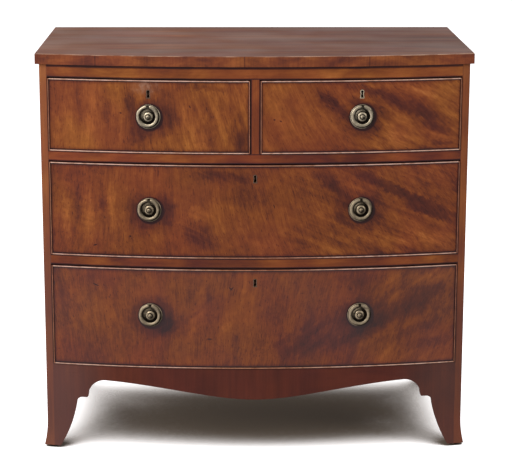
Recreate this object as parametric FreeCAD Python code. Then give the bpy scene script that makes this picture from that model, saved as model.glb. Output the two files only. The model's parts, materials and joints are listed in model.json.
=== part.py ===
import FreeCAD, Part
import math
import os
from FreeCAD import Vector

# Bow front chest of drawers, two short drawers over two long ones.
# Millimetres, +X right, -Y front, +Z up. The origin is on the floor, under the middle of the chest.

# ---- Driving dimensions -------------------------------------------------------------------------

CASE_WIDTH = 900.0
SIDE_DEPTH = 475.0
BOW_RISE = 50.0
TOP_OVERHANG = 8.0

PAD_HEIGHT = 5.5
PAD_RADIUS = 14.5
PAD_OUTSET = 1.0
BASE_UNDERSIDE = 171.0
BOTTOM_THICKNESS = 18.0
LOWER_LONG_OPENING = 221.0
UPPER_LONG_OPENING = 203.0
SHORT_OPENING = 156.0
DIVIDER_THICKNESS = 21.0
TOP_RAIL_THICKNESS = 27.0
TOP_THICKNESS = 22.0
TOP_ARRIS = 1.2

SIDE_THICKNESS = 16.0
MUNTIN_WIDTH = 19.0
MUNTIN_TENON = 8.0
MUNTIN_TENON_SETBACK = 20.0
RAIL_DEPTH = 87.0
REAR_RAIL_DEPTH = 60.0
HOUSING = 6.0
HOUSING_SETBACK = 40.0
RUNNER_WIDTH = 30.0
CENTRE_RUNNER_WIDTH = 80.0
GUIDE_HEIGHT = 20.0
DUSTBOARD_THICKNESS = 6.0
BACK_THICKNESS = 12.0
BACK_REBATE = 8.0
BACK_BOARDS = 4
BACK_BOARD_GAP = 1.0

# Drawer fronts stand flush with the rails, and their cockbeads stand proud of them.
FRONT_THICKNESS = 20.0
GAP_ABOVE = 2.0
GAP_BELOW = 0.4
GAP_BESIDE = 1.0
BEAD_THICKNESS = 3.2
BEAD_PROUD = 3.0
BEAD_DEPTH = 9.0

DRAWER_SIDE_THICKNESS = 10.0
DRAWER_SIDE_INSET = 1.6
DRAWER_SIDE_DROP = 6.0
DRAWER_BACK_DROP = 12.0
DRAWER_REAR_GAP = 24.5
DOVETAIL_LAP = 9.5
DOVETAIL_PITCH = 48.0
DOVETAIL_PIN_WIDE = 9.0
DOVETAIL_PIN_NARROW = 4.0
DOVETAIL_OVERRUN = 3.0
DRAWER_BOTTOM_THICKNESS = 7.0
DRAWER_BOTTOM_RAISE = 8.0
GROOVE_DEPTH = 5.0
STOP_CLEARANCE = 0.3
STOP_LENGTH = 50.0
STOP_DEPTH = 11.7
STOP_HEIGHT = 5.0
LONG_DRAWER_STOPS = (-300.0, 300.0)
SHORT_DRAWER_STOPS = (-330.0, -110.0, 110.0, 330.0)

# Handles: a round backplate, a central boss on a bolt, and a ring that hangs from a pin at the top.
HANDLE_X = 222.0
PLATE_RADIUS = 25.5
PLATE_DISH = 1.4
PLATE_RIM = 2.2
PLATE_RIM_WIDTH = 1.8
BOSS_RADIUS = 10.6
BOSS_STEPS = [[(BOSS_RADIUS, 3.6), (9.8, 4.8), (8.4, 5.2)], [(6.6, 5.2)], [(6.2, 7.0)], [(4.2, 7.4)],
              [(4.2, 8.2), (3.2, 9.7), (1.4, 10.2)], [(0.0, 10.2)]]
BOLT_RADIUS = 2.5
NUT_WIDTH = 12.0
NUT_THICKNESS = 4.0
NUT_CLEARANCE = 0.05
RING_RADIUS = 20.0
RING_WIDTH = 8.8
RING_THICKNESS = 5.2
RING_LIFT = 0.8
PIVOT_HEIGHT = 6.4
PIVOT_RADIUS = 1.2
PIVOT_CLEARANCE = 0.07
PIVOT_REACH = 4.6
PIVOT_END_CLEARANCE = 0.4
LUG_HALF_WIDTH = 1.9
LUG_RADIUS = 2.8
LUG_CLEARANCE = 0.35

# Locks: the keyhole's drop is from the drawer front's top edge to the round part's centre.
KEYHOLE_DROP = 24.7
KEYHOLE_RADIUS = 2.7
KEYHOLE_HEIGHT = 15.0
KEYHOLE_NECK = 1.5
KEYHOLE_FOOT = 2.9
ESCUTCHEON_RIM = 1.8
ESCUTCHEON_PROUD = 0.4
ESCUTCHEON_DEPTH = 3.0
LOCK_SETBACK = 11.0
LOCK_HEIGHT = 42.0
LOCK_WIDTH = 52.0
LOCK_PLATE = 1.7
LOCK_CAP_LAP = 9.0
LOCK_CAP_DROP = 4.0
LOCK_SELVEDGE_LAP = 5.0
LOCK_CHAMBER_RADIUS = 8.5
LOCK_PIN_RADIUS = 1.1
LOCK_BOLT_WIDTH = 18.0
LOCK_BOLT_THICKNESS = 4.0
LOCK_BOLT_CLEARANCE = 0.3
LOCK_BOLT_REST = 0.1
LOCK_BOLT_SUNK = 0.2
LOCK_SLOT_LAP = 3.0
MORTISE_DEPTH = 12.0
MORTISE_CLEARANCE = 2.0

# Apron and bracket feet. Heights are from the floor; a foot's outline is (inset from corner, height).
APRON_HALF_WIDTH = 358.5
APRON_ARCH = [(318.0, 156.3), (346.5, 147.5), (APRON_HALF_WIDTH, 126.0)]
APRON_SWEEP = [(0.0, 120.0), (75.0, 125.2), (145.0, 135.5), (225.0, 147.3), (318.0, 156.3)]
FOOT_REACH = CASE_WIDTH / 2 - APRON_HALF_WIDTH
FOOT_COVE = [(FOOT_REACH, 122.0), (89.9, 118.1), (86.0, 116.5)]
FOOT_SHOULDER = [(78.0, 116.5), (69.5, 113.0), (66.0, 105.0)]
FOOT_LEG = [(66.0, 105.0), (56.0, 63.0), (39.0, 23.0), (29.0, PAD_HEIGHT)]
FOOT_WING = [(FOOT_REACH, 128.0), (103.0, 150.0), (132.0, 160.0)]
FOOT_WING_END = 150.0
FOOT_THICKNESS = 20.0
BACK_BRACKET_THICKNESS = 18.0
BACK_BRACKET_SLOPE = [(100.0, 150.0), (32.0, 66.0), (22.0, PAD_HEIGHT)]
FLARE_START = 62.0
FLARE_OUT = 7.0
FOOT_BLOCK_REACH = 56.0
FOOT_BLOCK_TAPER = 75.0

# How far a shape that only trims or bores others runs past them.
BEYOND = 50.0

# ---- Worked out from the driving dimensions -----------------------------------------------------

HALF_WIDTH = CASE_WIDTH / 2
INNER_HALF = HALF_WIDTH - SIDE_THICKNESS
BOW_RADIUS = (HALF_WIDTH ** 2 + BOW_RISE ** 2) / (2 * BOW_RISE)
REAR_Y = (SIDE_DEPTH + BOW_RISE + TOP_OVERHANG) / 2
CORNER_Y = REAR_Y - SIDE_DEPTH
FRONT_Y = CORNER_Y - BOW_RISE
BOW_CENTRE_Y = FRONT_Y + BOW_RADIUS
RAIL_BACK_Y = FRONT_Y + RAIL_DEPTH
INNER_BACK_Y = REAR_Y - BACK_THICKNESS
DRAWER_BACK_Y = INNER_BACK_Y - DRAWER_REAR_GAP

BASE_TOP = BASE_UNDERSIDE + BOTTOM_THICKNESS
LOWER_DIVIDER_Z = BASE_TOP + LOWER_LONG_OPENING
UPPER_LONG_Z = LOWER_DIVIDER_Z + DIVIDER_THICKNESS
UPPER_DIVIDER_Z = UPPER_LONG_Z + UPPER_LONG_OPENING
SHORT_Z = UPPER_DIVIDER_Z + DIVIDER_THICKNESS
TOP_RAIL_Z = SHORT_Z + SHORT_OPENING
TOP_Z = TOP_RAIL_Z + TOP_RAIL_THICKNESS
HEIGHT = TOP_Z + TOP_THICKNESS

# Each drawer: name, opening's left, right, bottom and top, handles' x, their height, keyhole's x.
HALF_MUNTIN = MUNTIN_WIDTH / 2
DRAWERS = [
    ("short_drawer_left", -INNER_HALF, -HALF_MUNTIN, SHORT_Z, TOP_RAIL_Z, [-HANDLE_X], 732.6, -HANDLE_X),
    ("short_drawer_right", HALF_MUNTIN, INNER_HALF, SHORT_Z, TOP_RAIL_Z, [HANDLE_X], 732.6, HANDLE_X),
    ("long_drawer_upper", -INNER_HALF, INNER_HALF, UPPER_LONG_Z, UPPER_DIVIDER_Z,
     [-HANDLE_X, HANDLE_X], 534.8, 0.0),
    ("long_drawer_lower", -INNER_HALF, INNER_HALF, BASE_TOP, LOWER_DIVIDER_Z,
     [-HANDLE_X, HANDLE_X], 305.8, 0.0),
]


# ---- Shape helpers ------------------------------------------------------------------------------

def bow_y(x, outset=0.0):
    """Y of the bowed face at x, or of the arc that runs outset in front of it."""
    return BOW_CENTRE_Y - math.sqrt((BOW_RADIUS + outset) ** 2 - x * x)


def block(x0, x1, y0, y1, z0, z1):
    return Part.makeBox(x1 - x0, y1 - y0, z1 - z0, Vector(x0, y0, z0))


def cylinder_x(half_length, radius, y, z):
    return Part.makeCylinder(radius, 2 * half_length, Vector(-half_length, y, z), Vector(1, 0, 0))


def cylinder_y(x, z, radius, y0, y1):
    return Part.makeCylinder(radius, y1 - y0, Vector(x, y0, z), Vector(0, 1, 0))


def joined(shapes):
    return shapes[0].multiFuse(shapes[1:]).removeSplitter()


def mirrored_x(shape):
    return shape.mirror(Vector(0, 0, 0), Vector(1, 0, 0))


def edge_through(points):
    """A line through two points, an arc through three, or a smooth curve through more."""
    if len(points) == 2:
        return Part.LineSegment(points[0], points[1]).toShape()
    if len(points) == 3:
        return Part.Arc(points[0], points[1], points[2]).toShape()
    curve = Part.BSplineCurve()
    curve.interpolate(points)
    return curve.toShape()


def extruded(curves, to_space, direction):
    """Face bounded by curves of 2-D points, placed by to_space and extruded along direction.

    Straight lines close the outline between one curve's end and the next one's start."""
    edges = []
    corners = [[to_space(a, b) for a, b in curve] for curve in curves]
    for points, following in zip(corners, corners[1:] + corners[:1]):
        if len(points) > 1:
            edges.append(edge_through(points))
        if points[-1].distanceToPoint(following[0]) > 1e-6:
            edges.append(edge_through([points[-1], following[0]]))
    return Part.Face(Part.Wire(edges)).extrude(direction)


def prism_xz(curves, y0, y1):
    return extruded(curves, lambda x, z: Vector(x, y0, z), Vector(0, y1 - y0, 0))


def prism_yz(curves, x0, x1):
    return extruded(curves, lambda y, z: Vector(x0, y, z), Vector(x1 - x0, 0, 0))


def prism_xy(curves, z0, z1):
    return extruded(curves, lambda x, y: Vector(x, y, z0), Vector(0, 0, z1 - z0))


def polygon(points):
    return [[point] for point in points]


def bow_arc(x0, x1, outset):
    middle = (x0 + x1) / 2
    return [(x, bow_y(x, outset)) for x in (x0, middle, x1)]


def bowed_slab(x0, x1, outset, back_y, z0, z1):
    """Board with straight ends and back, whose front edge follows the bow."""
    return prism_xy([bow_arc(x0, x1, outset), [(x1, back_y)], [(x0, back_y)]], z0, z1)


def bowed_band(x0, x1, inset, z0, z1):
    """Curved board from the bowed face to inset behind it."""
    return prism_xy([bow_arc(x0, x1, 0.0), bow_arc(x1, x0, -inset)], z0, z1)


def swept_round_bow(section, x0, x1):
    """Section of (outset, height) curves, swept round the bow a little past x0 and x1."""
    start = math.degrees(math.asin(x0 / BOW_RADIUS)) - 0.5
    end = math.degrees(math.asin(x1 / BOW_RADIUS)) + 0.5
    edges = extruded(section, lambda out, z: Vector(0, FRONT_Y - out, z), Vector(1, 0, 0))
    face = [f for f in edges.Faces if abs(f.CenterOfMass.x) < 1e-6][0]
    axis = Vector(0, BOW_CENTRE_Y, 0)
    face.rotate(axis, Vector(0, 0, 1), start)
    return face.revolve(axis, Vector(0, 0, 1), end - start)


def swung(shape, x):
    """Shape modelled at the bow's middle, swung round the bow so that it sits square to the face at x."""
    turned = shape.copy()
    turned.rotate(Vector(0, BOW_CENTRE_Y, 0), Vector(0, 0, 1), math.degrees(math.asin(x / BOW_RADIUS)))
    return turned


# ---- Case ---------------------------------------------------------------------------------------

def top_board():
    overhang = HALF_WIDTH + TOP_OVERHANG
    board = bowed_slab(-overhang, overhang, TOP_OVERHANG, REAR_Y, TOP_Z, HEIGHT)
    arris = [e for e in board.Edges if e.BoundBox.ZMin > HEIGHT - 0.1 and e.BoundBox.YMin < REAR_Y - 1]
    return board.makeFillet(TOP_ARRIS, arris)


def housed_rail(z0, z1):
    """Bowed front rail whose ends are housed in the sides, short of their front edges."""
    rail = bowed_slab(-INNER_HALF, INNER_HALF, 0.0, RAIL_BACK_Y, z0, z1)
    tongues = block(-INNER_HALF - HOUSING, INNER_HALF + HOUSING, RAIL_BACK_Y - HOUSING_SETBACK + HOUSING,
                    RAIL_BACK_Y, z0, z1)
    return joined([rail, tongues])


def lock_mortise(x, z):
    """Room above a drawer's lock bolt, in the rail whose underside is at z."""
    half = LOCK_BOLT_WIDTH / 2 + MORTISE_CLEARANCE
    depth = FRONT_Y + LOCK_SETBACK
    return swung(block(-half, half, depth, depth + LOCK_BOLT_THICKNESS + 2 * MORTISE_CLEARANCE,
                       z - 1, z + MORTISE_DEPTH), x)


def dustboards():
    low_z = (DIVIDER_THICKNESS - DUSTBOARD_THICKNESS) / 2
    edge = INNER_HALF - RUNNER_WIDTH + HOUSING
    inner_edge = CENTRE_RUNNER_WIDTH / 2 - HOUSING
    front = RAIL_BACK_Y - HOUSING
    z = LOWER_DIVIDER_Z + low_z
    boards = [block(-edge, edge, front, INNER_BACK_Y, z, z + DUSTBOARD_THICKNESS)]
    z = UPPER_DIVIDER_Z + low_z
    for x0, x1 in ((-edge, -inner_edge), (inner_edge, edge)):
        boards.append(block(x0, x1, front, INNER_BACK_Y, z, z + DUSTBOARD_THICKNESS))
    return boards


def runners():
    """Side runners, centre runner and centre guide, and the kickers that keep open drawers level."""
    pieces = []
    inner = INNER_HALF - RUNNER_WIDTH
    rear_rail_y = INNER_BACK_Y - REAR_RAIL_DEPTH
    rows = ((LOWER_DIVIDER_Z, UPPER_LONG_Z, INNER_BACK_Y), (UPPER_DIVIDER_Z, SHORT_Z, INNER_BACK_Y),
            (TOP_RAIL_Z, TOP_Z, rear_rail_y))
    for z0, z1, rear in rows:
        pieces.append(block(inner, INNER_HALF, RAIL_BACK_Y, rear, z0, z1))
        pieces.append(block(-INNER_HALF, -inner, RAIL_BACK_Y, rear, z0, z1))
    half = CENTRE_RUNNER_WIDTH / 2
    pieces.append(block(-half, half, RAIL_BACK_Y, INNER_BACK_Y, UPPER_DIVIDER_Z, SHORT_Z))
    pieces.append(block(-half, half, RAIL_BACK_Y, rear_rail_y, TOP_RAIL_Z, TOP_Z))
    pieces.append(block(-HALF_MUNTIN, HALF_MUNTIN, RAIL_BACK_Y, INNER_BACK_Y, SHORT_Z,
                        SHORT_Z + GUIDE_HEIGHT))
    return pieces


def drawer_stops():
    """Two small blocks behind each drawer front, on the board that the drawer runs on."""
    half = STOP_LENGTH / 2
    front = FRONT_Y + FRONT_THICKNESS + STOP_CLEARANCE
    stop = block(-half, half, front, front + STOP_DEPTH, 0.0, STOP_HEIGHT)
    rows = [(BASE_TOP, LONG_DRAWER_STOPS), (UPPER_LONG_Z, LONG_DRAWER_STOPS), (SHORT_Z, SHORT_DRAWER_STOPS)]
    stops = []
    for z, places in rows:
        for x in places:
            stops.append(swung(stop.translated(Vector(0, 0, z)), x))
    return stops


def centre_muntin():
    """Upright between the short drawers, with a tenon at each end."""
    upright = bowed_slab(-HALF_MUNTIN, HALF_MUNTIN, 0.0, RAIL_BACK_Y, SHORT_Z, TOP_RAIL_Z)
    half = MUNTIN_TENON / 2
    tenon = block(-half, half, FRONT_Y + MUNTIN_TENON_SETBACK, RAIL_BACK_Y - MUNTIN_TENON_SETBACK,
                  SHORT_Z - MUNTIN_TENON, TOP_RAIL_Z + MUNTIN_TENON)
    return joined([upright, tenon])


def side_panel(housed):
    side = bowed_slab(INNER_HALF, HALF_WIDTH, 0.0, REAR_Y, BASE_UNDERSIDE, TOP_Z)
    rebate = block(INNER_HALF, INNER_HALF + BACK_REBATE, INNER_BACK_Y, REAR_Y, BASE_UNDERSIDE, TOP_Z)
    return side.cut([rebate] + housed)


def back_boards():
    width = 2 * (INNER_HALF + BACK_REBATE)
    pitch = (width + BACK_BOARD_GAP) / BACK_BOARDS
    boards = []
    for index in range(BACK_BOARDS):
        left = index * pitch - width / 2
        boards.append(block(left, left + pitch - BACK_BOARD_GAP, INNER_BACK_Y, REAR_Y, BASE_UNDERSIDE, TOP_Z))
    return boards


def build_case():
    top_rail = housed_rail(TOP_RAIL_Z, TOP_Z)
    rear_rail = block(-INNER_HALF - HOUSING, INNER_HALF + HOUSING, INNER_BACK_Y - REAR_RAIL_DEPTH,
                      INNER_BACK_Y, TOP_RAIL_Z, TOP_Z)
    bottom = bowed_slab(-INNER_HALF, INNER_HALF, -FOOT_THICKNESS, INNER_BACK_Y, BASE_UNDERSIDE, BASE_TOP)
    bottom = joined([bottom, block(-INNER_HALF - HOUSING, INNER_HALF + HOUSING, CORNER_Y + HOUSING_SETBACK,
                                   INNER_BACK_Y, BASE_UNDERSIDE, BASE_TOP)])
    upper_divider = housed_rail(UPPER_DIVIDER_Z, SHORT_Z)
    lower_divider = housed_rail(LOWER_DIVIDER_Z, UPPER_LONG_Z)
    muntin = centre_muntin()
    panels = dustboards()
    housed = [top_rail, rear_rail, bottom, upper_divider, lower_divider]
    right_side = side_panel(housed)
    runner_pieces = [piece.cut(panels) for piece in runners()]
    return {
        "top_board": [top_board()],
        "side_panel_left": [mirrored_x(right_side)],
        "side_panel_right": [right_side],
        "bottom_board": [bottom],
        "top_rails": [top_rail.cut([muntin, lock_mortise(-HANDLE_X, TOP_RAIL_Z),
                                    lock_mortise(HANDLE_X, TOP_RAIL_Z)]), rear_rail],
        "upper_divider": [upper_divider.cut(panels + [muntin, lock_mortise(0.0, UPPER_DIVIDER_Z)])],
        "lower_divider": [lower_divider.cut(panels + [lock_mortise(0.0, LOWER_DIVIDER_Z)])],
        "centre_muntin": [muntin],
        "dustboards": panels,
        "runners_and_stops": runner_pieces + drawer_stops(),
        "back_boards": back_boards(),
    }


# ---- Apron and feet -----------------------------------------------------------------------------

def apron():
    """Bowed board under the lowest drawer, with a shaped lower edge between the feet."""
    right = [APRON_SWEEP, APRON_ARCH, [(APRON_HALF_WIDTH, BASE_UNDERSIDE)], [(INNER_HALF, BASE_UNDERSIDE)],
             [(INNER_HALF, BASE_TOP)]]
    left = [[(-x, z) for x, z in reversed(curve)] for curve in reversed(right)]
    board = bowed_band(-INNER_HALF, INNER_HALF, FOOT_THICKNESS, 0.0, BASE_TOP)
    return board.common(prism_xz(right + left, FRONT_Y - BEYOND, CORNER_Y + BEYOND))


def leg_outline(place, top, wing, outer):
    """Outline of a bracket foot. place turns (inset from corner, height) into outline points."""
    curves = [FOOT_COVE, FOOT_SHOULDER, FOOT_LEG, [(outer, PAD_HEIGHT)], [(outer, top)]]
    if wing:
        curves += [[(FOOT_WING_END, top)], [(FOOT_WING_END, FOOT_WING[-1][1])], list(reversed(FOOT_WING))]
    else:
        curves += [[(FOOT_REACH, top)]]
    return [[place(inset, z) for inset, z in curve] for curve in curves]


def flared_section(inset):
    """Section of a bracket: upright inside, splaying out at the toe outside. (outset, height) curves."""
    drop = FLARE_START - PAD_HEIGHT
    radius = (drop ** 2 + FLARE_OUT ** 2) / (2 * FLARE_OUT)
    middle = math.asin(drop / radius) / 2
    flare = [(0.0, FLARE_START), (radius * (1 - math.cos(middle)), FLARE_START - radius * math.sin(middle)),
             (FLARE_OUT, PAD_HEIGHT)]
    return [flare, [(-inset, PAD_HEIGHT)], [(-inset, BASE_UNDERSIDE)], [(0.0, BASE_UNDERSIDE)]]


def front_of_mitre():
    """Everything in front of the mitre between the front and side brackets, at the right corner."""
    slope = math.atan2(bow_y(HALF_WIDTH) - bow_y(HALF_WIDTH - 1), 1.0)
    toward = math.radians(180.0) - (math.radians(90.0) - slope) / 2
    step = Vector(math.cos(toward), math.sin(toward), 0)
    corner = Vector(HALF_WIDTH, CORNER_Y, 0)
    outside = corner - step * BEYOND
    inside = corner + step * (FOOT_REACH + BEYOND)
    front_y = FRONT_Y - BEYOND
    points = [(outside.x, outside.y), (inside.x, inside.y), (inside.x, front_y), (outside.x, front_y)]
    return prism_xy(polygon(points), 0.0, BASE_UNDERSIDE)


def side_bracket(from_front):
    """Side bracket of a right foot, measured from the front or the rear corner of the case."""
    if from_front:
        outline = leg_outline(lambda inset, z: (CORNER_Y + inset, z), BASE_UNDERSIDE, True, -BEYOND)
    else:
        outline = leg_outline(lambda inset, z: (REAR_Y - inset, z), BASE_UNDERSIDE, True, 0.0)
    section = [[(HALF_WIDTH + out, z) for out, z in curve] for curve in flared_section(FOOT_THICKNESS)]
    flared = prism_xz(section, FRONT_Y, REAR_Y)
    return flared.common(prism_yz(outline, 0.0, HALF_WIDTH + BEYOND))


def front_foot():
    """Right front foot: a bowed front bracket and a side bracket, mitred together at the corner."""
    mitre = front_of_mitre()
    outline = leg_outline(lambda inset, z: (HALF_WIDTH - inset, z), BASE_UNDERSIDE, False, -BEYOND)
    shell = swept_round_bow(flared_section(FOOT_THICKNESS), APRON_HALF_WIDTH, HALF_WIDTH + BEYOND)
    front = shell.common(prism_xz(outline, FRONT_Y - BEYOND, REAR_Y)).common(mitre)
    return [front, side_bracket(True).cut(mitre)]


def rear_foot():
    """Right rear foot: a side bracket with an upright rear edge, and a plain bracket across the back."""
    inner = HALF_WIDTH - FOOT_THICKNESS
    slope = [(inner - inset, z) for inset, z in BACK_BRACKET_SLOPE]
    plain = slope + [(inner, PAD_HEIGHT), (inner, BASE_UNDERSIDE), (slope[0][0], BASE_UNDERSIDE)]
    return [side_bracket(False), prism_xz(polygon(plain), REAR_Y - BACK_BRACKET_THICKNESS, REAR_Y)]


def foot_block(front_inner_y, toe_y, reach_y):
    """Tapered glue block in a right foot, between front_inner_y and reach_y at its top."""
    inner = HALF_WIDTH - FOOT_THICKNESS
    across = [(inner, PAD_HEIGHT), (inner, BASE_UNDERSIDE), (HALF_WIDTH - FOOT_BLOCK_REACH, BASE_UNDERSIDE),
              (HALF_WIDTH - FOOT_BLOCK_REACH, FOOT_BLOCK_TAPER), (HALF_WIDTH - FOOT_LEG[-1][0], PAD_HEIGHT)]
    along = [(front_inner_y, PAD_HEIGHT), (front_inner_y, BASE_UNDERSIDE), (reach_y, BASE_UNDERSIDE),
             (reach_y, FOOT_BLOCK_TAPER), (toe_y, PAD_HEIGHT)]
    return prism_xz(polygon(across), FRONT_Y, REAR_Y).common(prism_yz(polygon(along), 0, HALF_WIDTH))


def build_feet():
    toe = FOOT_LEG[-1][0]
    front_block = foot_block(bow_y(HALF_WIDTH - toe, -FOOT_THICKNESS), CORNER_Y + toe,
                             CORNER_Y + FOOT_BLOCK_REACH)
    front_pieces = front_foot()
    front_block = front_block.cut(front_pieces)
    rear_block = foot_block(REAR_Y - BACK_BRACKET_THICKNESS, REAR_Y - toe, REAR_Y - FOOT_BLOCK_REACH)
    pad_x = HALF_WIDTH - toe / 2 + PAD_OUTSET
    pad_ys = (CORNER_Y + toe / 2 - PAD_OUTSET, REAR_Y - PAD_RADIUS)
    pads = []
    for x in (-pad_x, pad_x):
        for y in pad_ys:
            pads.append(Part.makeCylinder(PAD_RADIUS, PAD_HEIGHT, Vector(x, y, 0)))
    rear_pieces = rear_foot()
    blocks = [front_block, rear_block]
    return {
        "apron": [apron()],
        "front_foot_left": [mirrored_x(piece) for piece in front_pieces],
        "front_foot_right": front_pieces,
        "rear_foot_left": [mirrored_x(piece) for piece in rear_pieces],
        "rear_foot_right": rear_pieces,
        "foot_blocks": [mirrored_x(piece) for piece in blocks] + blocks,
        "foot_pads": pads,
    }


# ---- Drawers ------------------------------------------------------------------------------------

def cockbead(x0, x1, z0, z1):
    """Four mitred strips round a drawer front, each with a nose of short flats proud of the face."""
    radius = BEAD_THICKNESS / 2
    turns = [math.radians(angle) for angle in (-90, -54, -18, 18, 54, 90)]
    nose = [(BEAD_PROUD - radius + radius * math.cos(turn), radius * math.sin(turn)) for turn in turns]
    outline = [(-BEAD_DEPTH, -radius)] + nose + [(-BEAD_DEPTH, radius)]
    strips = []
    for outer_z, inner_z in ((z0, z0 + BEAD_THICKNESS), (z1, z1 - BEAD_THICKNESS)):
        middle = (outer_z + inner_z) / 2
        section = polygon([(out, middle + across) for out, across in outline])
        mitred = polygon([(x0, outer_z), (x1, outer_z), (x1 - BEAD_THICKNESS, inner_z),
                          (x0 + BEAD_THICKNESS, inner_z)])
        trimmer = prism_xz(mitred, FRONT_Y - BEYOND, CORNER_Y + BEYOND)
        strips.append(swept_round_bow(section, x0, x1).common(trimmer))
    for outer_x, inner_x in ((x0, x0 + BEAD_THICKNESS), (x1, x1 - BEAD_THICKNESS)):
        middle = (outer_x + inner_x) / 2
        section = polygon([(middle + across, bow_y(middle) - out) for out, across in outline])
        mitred = polygon([(outer_x, z0), (outer_x, z1), (inner_x, z1 - BEAD_THICKNESS),
                          (inner_x, z0 + BEAD_THICKNESS)])
        trimmer = prism_xz(mitred, FRONT_Y - BEYOND, CORNER_Y + BEYOND)
        strips.append(prism_xy(section, z0, z1).common(trimmer))
    return strips


def dovetail_pins(x0, x1, z0, z1, shoulder_y, tip_y):
    """Wedges of the front or back board between the tails of a drawer side."""
    count = max(3, round((z1 - z0) / DOVETAIL_PITCH))
    pitch = (z1 - z0) / count
    wedges = []
    for index in range(count + 1):
        z = z0 + index * pitch
        wide = DOVETAIL_PIN_WIDE / 2
        narrow = DOVETAIL_PIN_NARROW / 2
        outline = [(shoulder_y, z - wide), (shoulder_y, z + wide), (tip_y, z + narrow), (tip_y, z - narrow)]
        wedges.append(prism_yz(polygon(outline), x0 - 1, x1 + 1))
    return wedges


def drawer_side(x0, x1, z0, z1, front_board, back_board):
    """Drawer side with dovetails lapped into the front and through the back."""
    middle = (x0 + x1) / 2
    tip = bow_y(middle, -DOVETAIL_LAP)
    shoulder = bow_y(middle, -FRONT_THICKNESS)
    side = block(x0, x1, tip, DRAWER_BACK_Y, z0, z1)
    rear_shoulder = DRAWER_BACK_Y - DRAWER_SIDE_THICKNESS
    front_wedges = dovetail_pins(x0, x1, z0, z1, shoulder + DOVETAIL_OVERRUN, tip - DOVETAIL_OVERRUN)
    rear_wedges = dovetail_pins(x0, x1, z0, z1, rear_shoulder, DRAWER_BACK_Y)
    pins = [front_board.common(wedge) for wedge in front_wedges]
    pins += [back_board.common(wedge) for wedge in rear_wedges]
    return side.cut(pins)


def keyhole(outset, y0, y1, z):
    """Keyhole's round top and flared foot, grown by outset, its round part centred at z."""
    foot_z = z - (KEYHOLE_HEIGHT - KEYHOLE_RADIUS) - outset
    flare = polygon([(-KEYHOLE_NECK - outset, z), (KEYHOLE_NECK + outset, z), (KEYHOLE_FOOT + outset, foot_z),
                     (-KEYHOLE_FOOT - outset, foot_z)])
    return joined([cylinder_y(0.0, z, KEYHOLE_RADIUS + outset, y0, y1), prism_xz(flare, y0, y1)])


def lock_pieces(front_top):
    """Lock case with its cap, the bolt that slides up in it, and the pocket that they need."""
    key_z = front_top - KEYHOLE_DROP
    case_front = FRONT_Y + LOCK_SETBACK
    cap_back = FRONT_Y + FRONT_THICKNESS
    cap_front = cap_back - LOCK_PLATE
    half = LOCK_WIDTH / 2
    case = block(-half, half, case_front, cap_front, front_top - LOCK_HEIGHT, front_top)
    cap = block(-half - LOCK_CAP_LAP, half + LOCK_CAP_LAP, cap_front, cap_back,
                front_top - LOCK_HEIGHT - LOCK_CAP_DROP, front_top)
    selvedge = block(-half - LOCK_SELVEDGE_LAP, half + LOCK_SELVEDGE_LAP, case_front, cap_front,
                     front_top - LOCK_PLATE, front_top)
    body = joined([case, cap, selvedge])
    pocket = joined([body, cap.translated(Vector(0, 1, 0))])
    slot_front = case_front + LOCK_PLATE
    slot_back = slot_front + LOCK_BOLT_THICKNESS + 2 * LOCK_BOLT_CLEARANCE
    bolt_half = LOCK_BOLT_WIDTH / 2
    slot_half = bolt_half + LOCK_BOLT_CLEARANCE
    bolt_low = key_z + LOCK_CHAMBER_RADIUS + LOCK_BOLT_REST
    slot = block(-slot_half, slot_half, slot_front, slot_back, bolt_low - LOCK_SLOT_LAP, front_top + BEYOND)
    chamber = cylinder_y(0.0, key_z, LOCK_CHAMBER_RADIUS, slot_front, slot_back)
    key_pin = cylinder_y(0.0, key_z, LOCK_PIN_RADIUS, slot_front, slot_back)
    hole = keyhole(0.0, case_front - BEYOND, slot_front, key_z)
    lock = joined([body.cut([slot, chamber, hole]), key_pin])
    bolt = block(-bolt_half, bolt_half, slot_front + LOCK_BOLT_CLEARANCE, slot_back - LOCK_BOLT_CLEARANCE,
                 bolt_low, front_top - LOCK_BOLT_SUNK)
    return lock, bolt, pocket


def turned_on_y(profile, z):
    """Solid turned about an axis square to the face. profile is (radius, height off the face) curves."""
    edges = extruded(profile, lambda radius, height: Vector(radius, FRONT_Y - height, z), Vector(0, 0, 1))
    face = [f for f in edges.Faces if abs(f.CenterOfMass.z - z) < 1e-6][0]
    return face.revolve(Vector(0, 0, z), Vector(0, 1, 0), 360)


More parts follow.
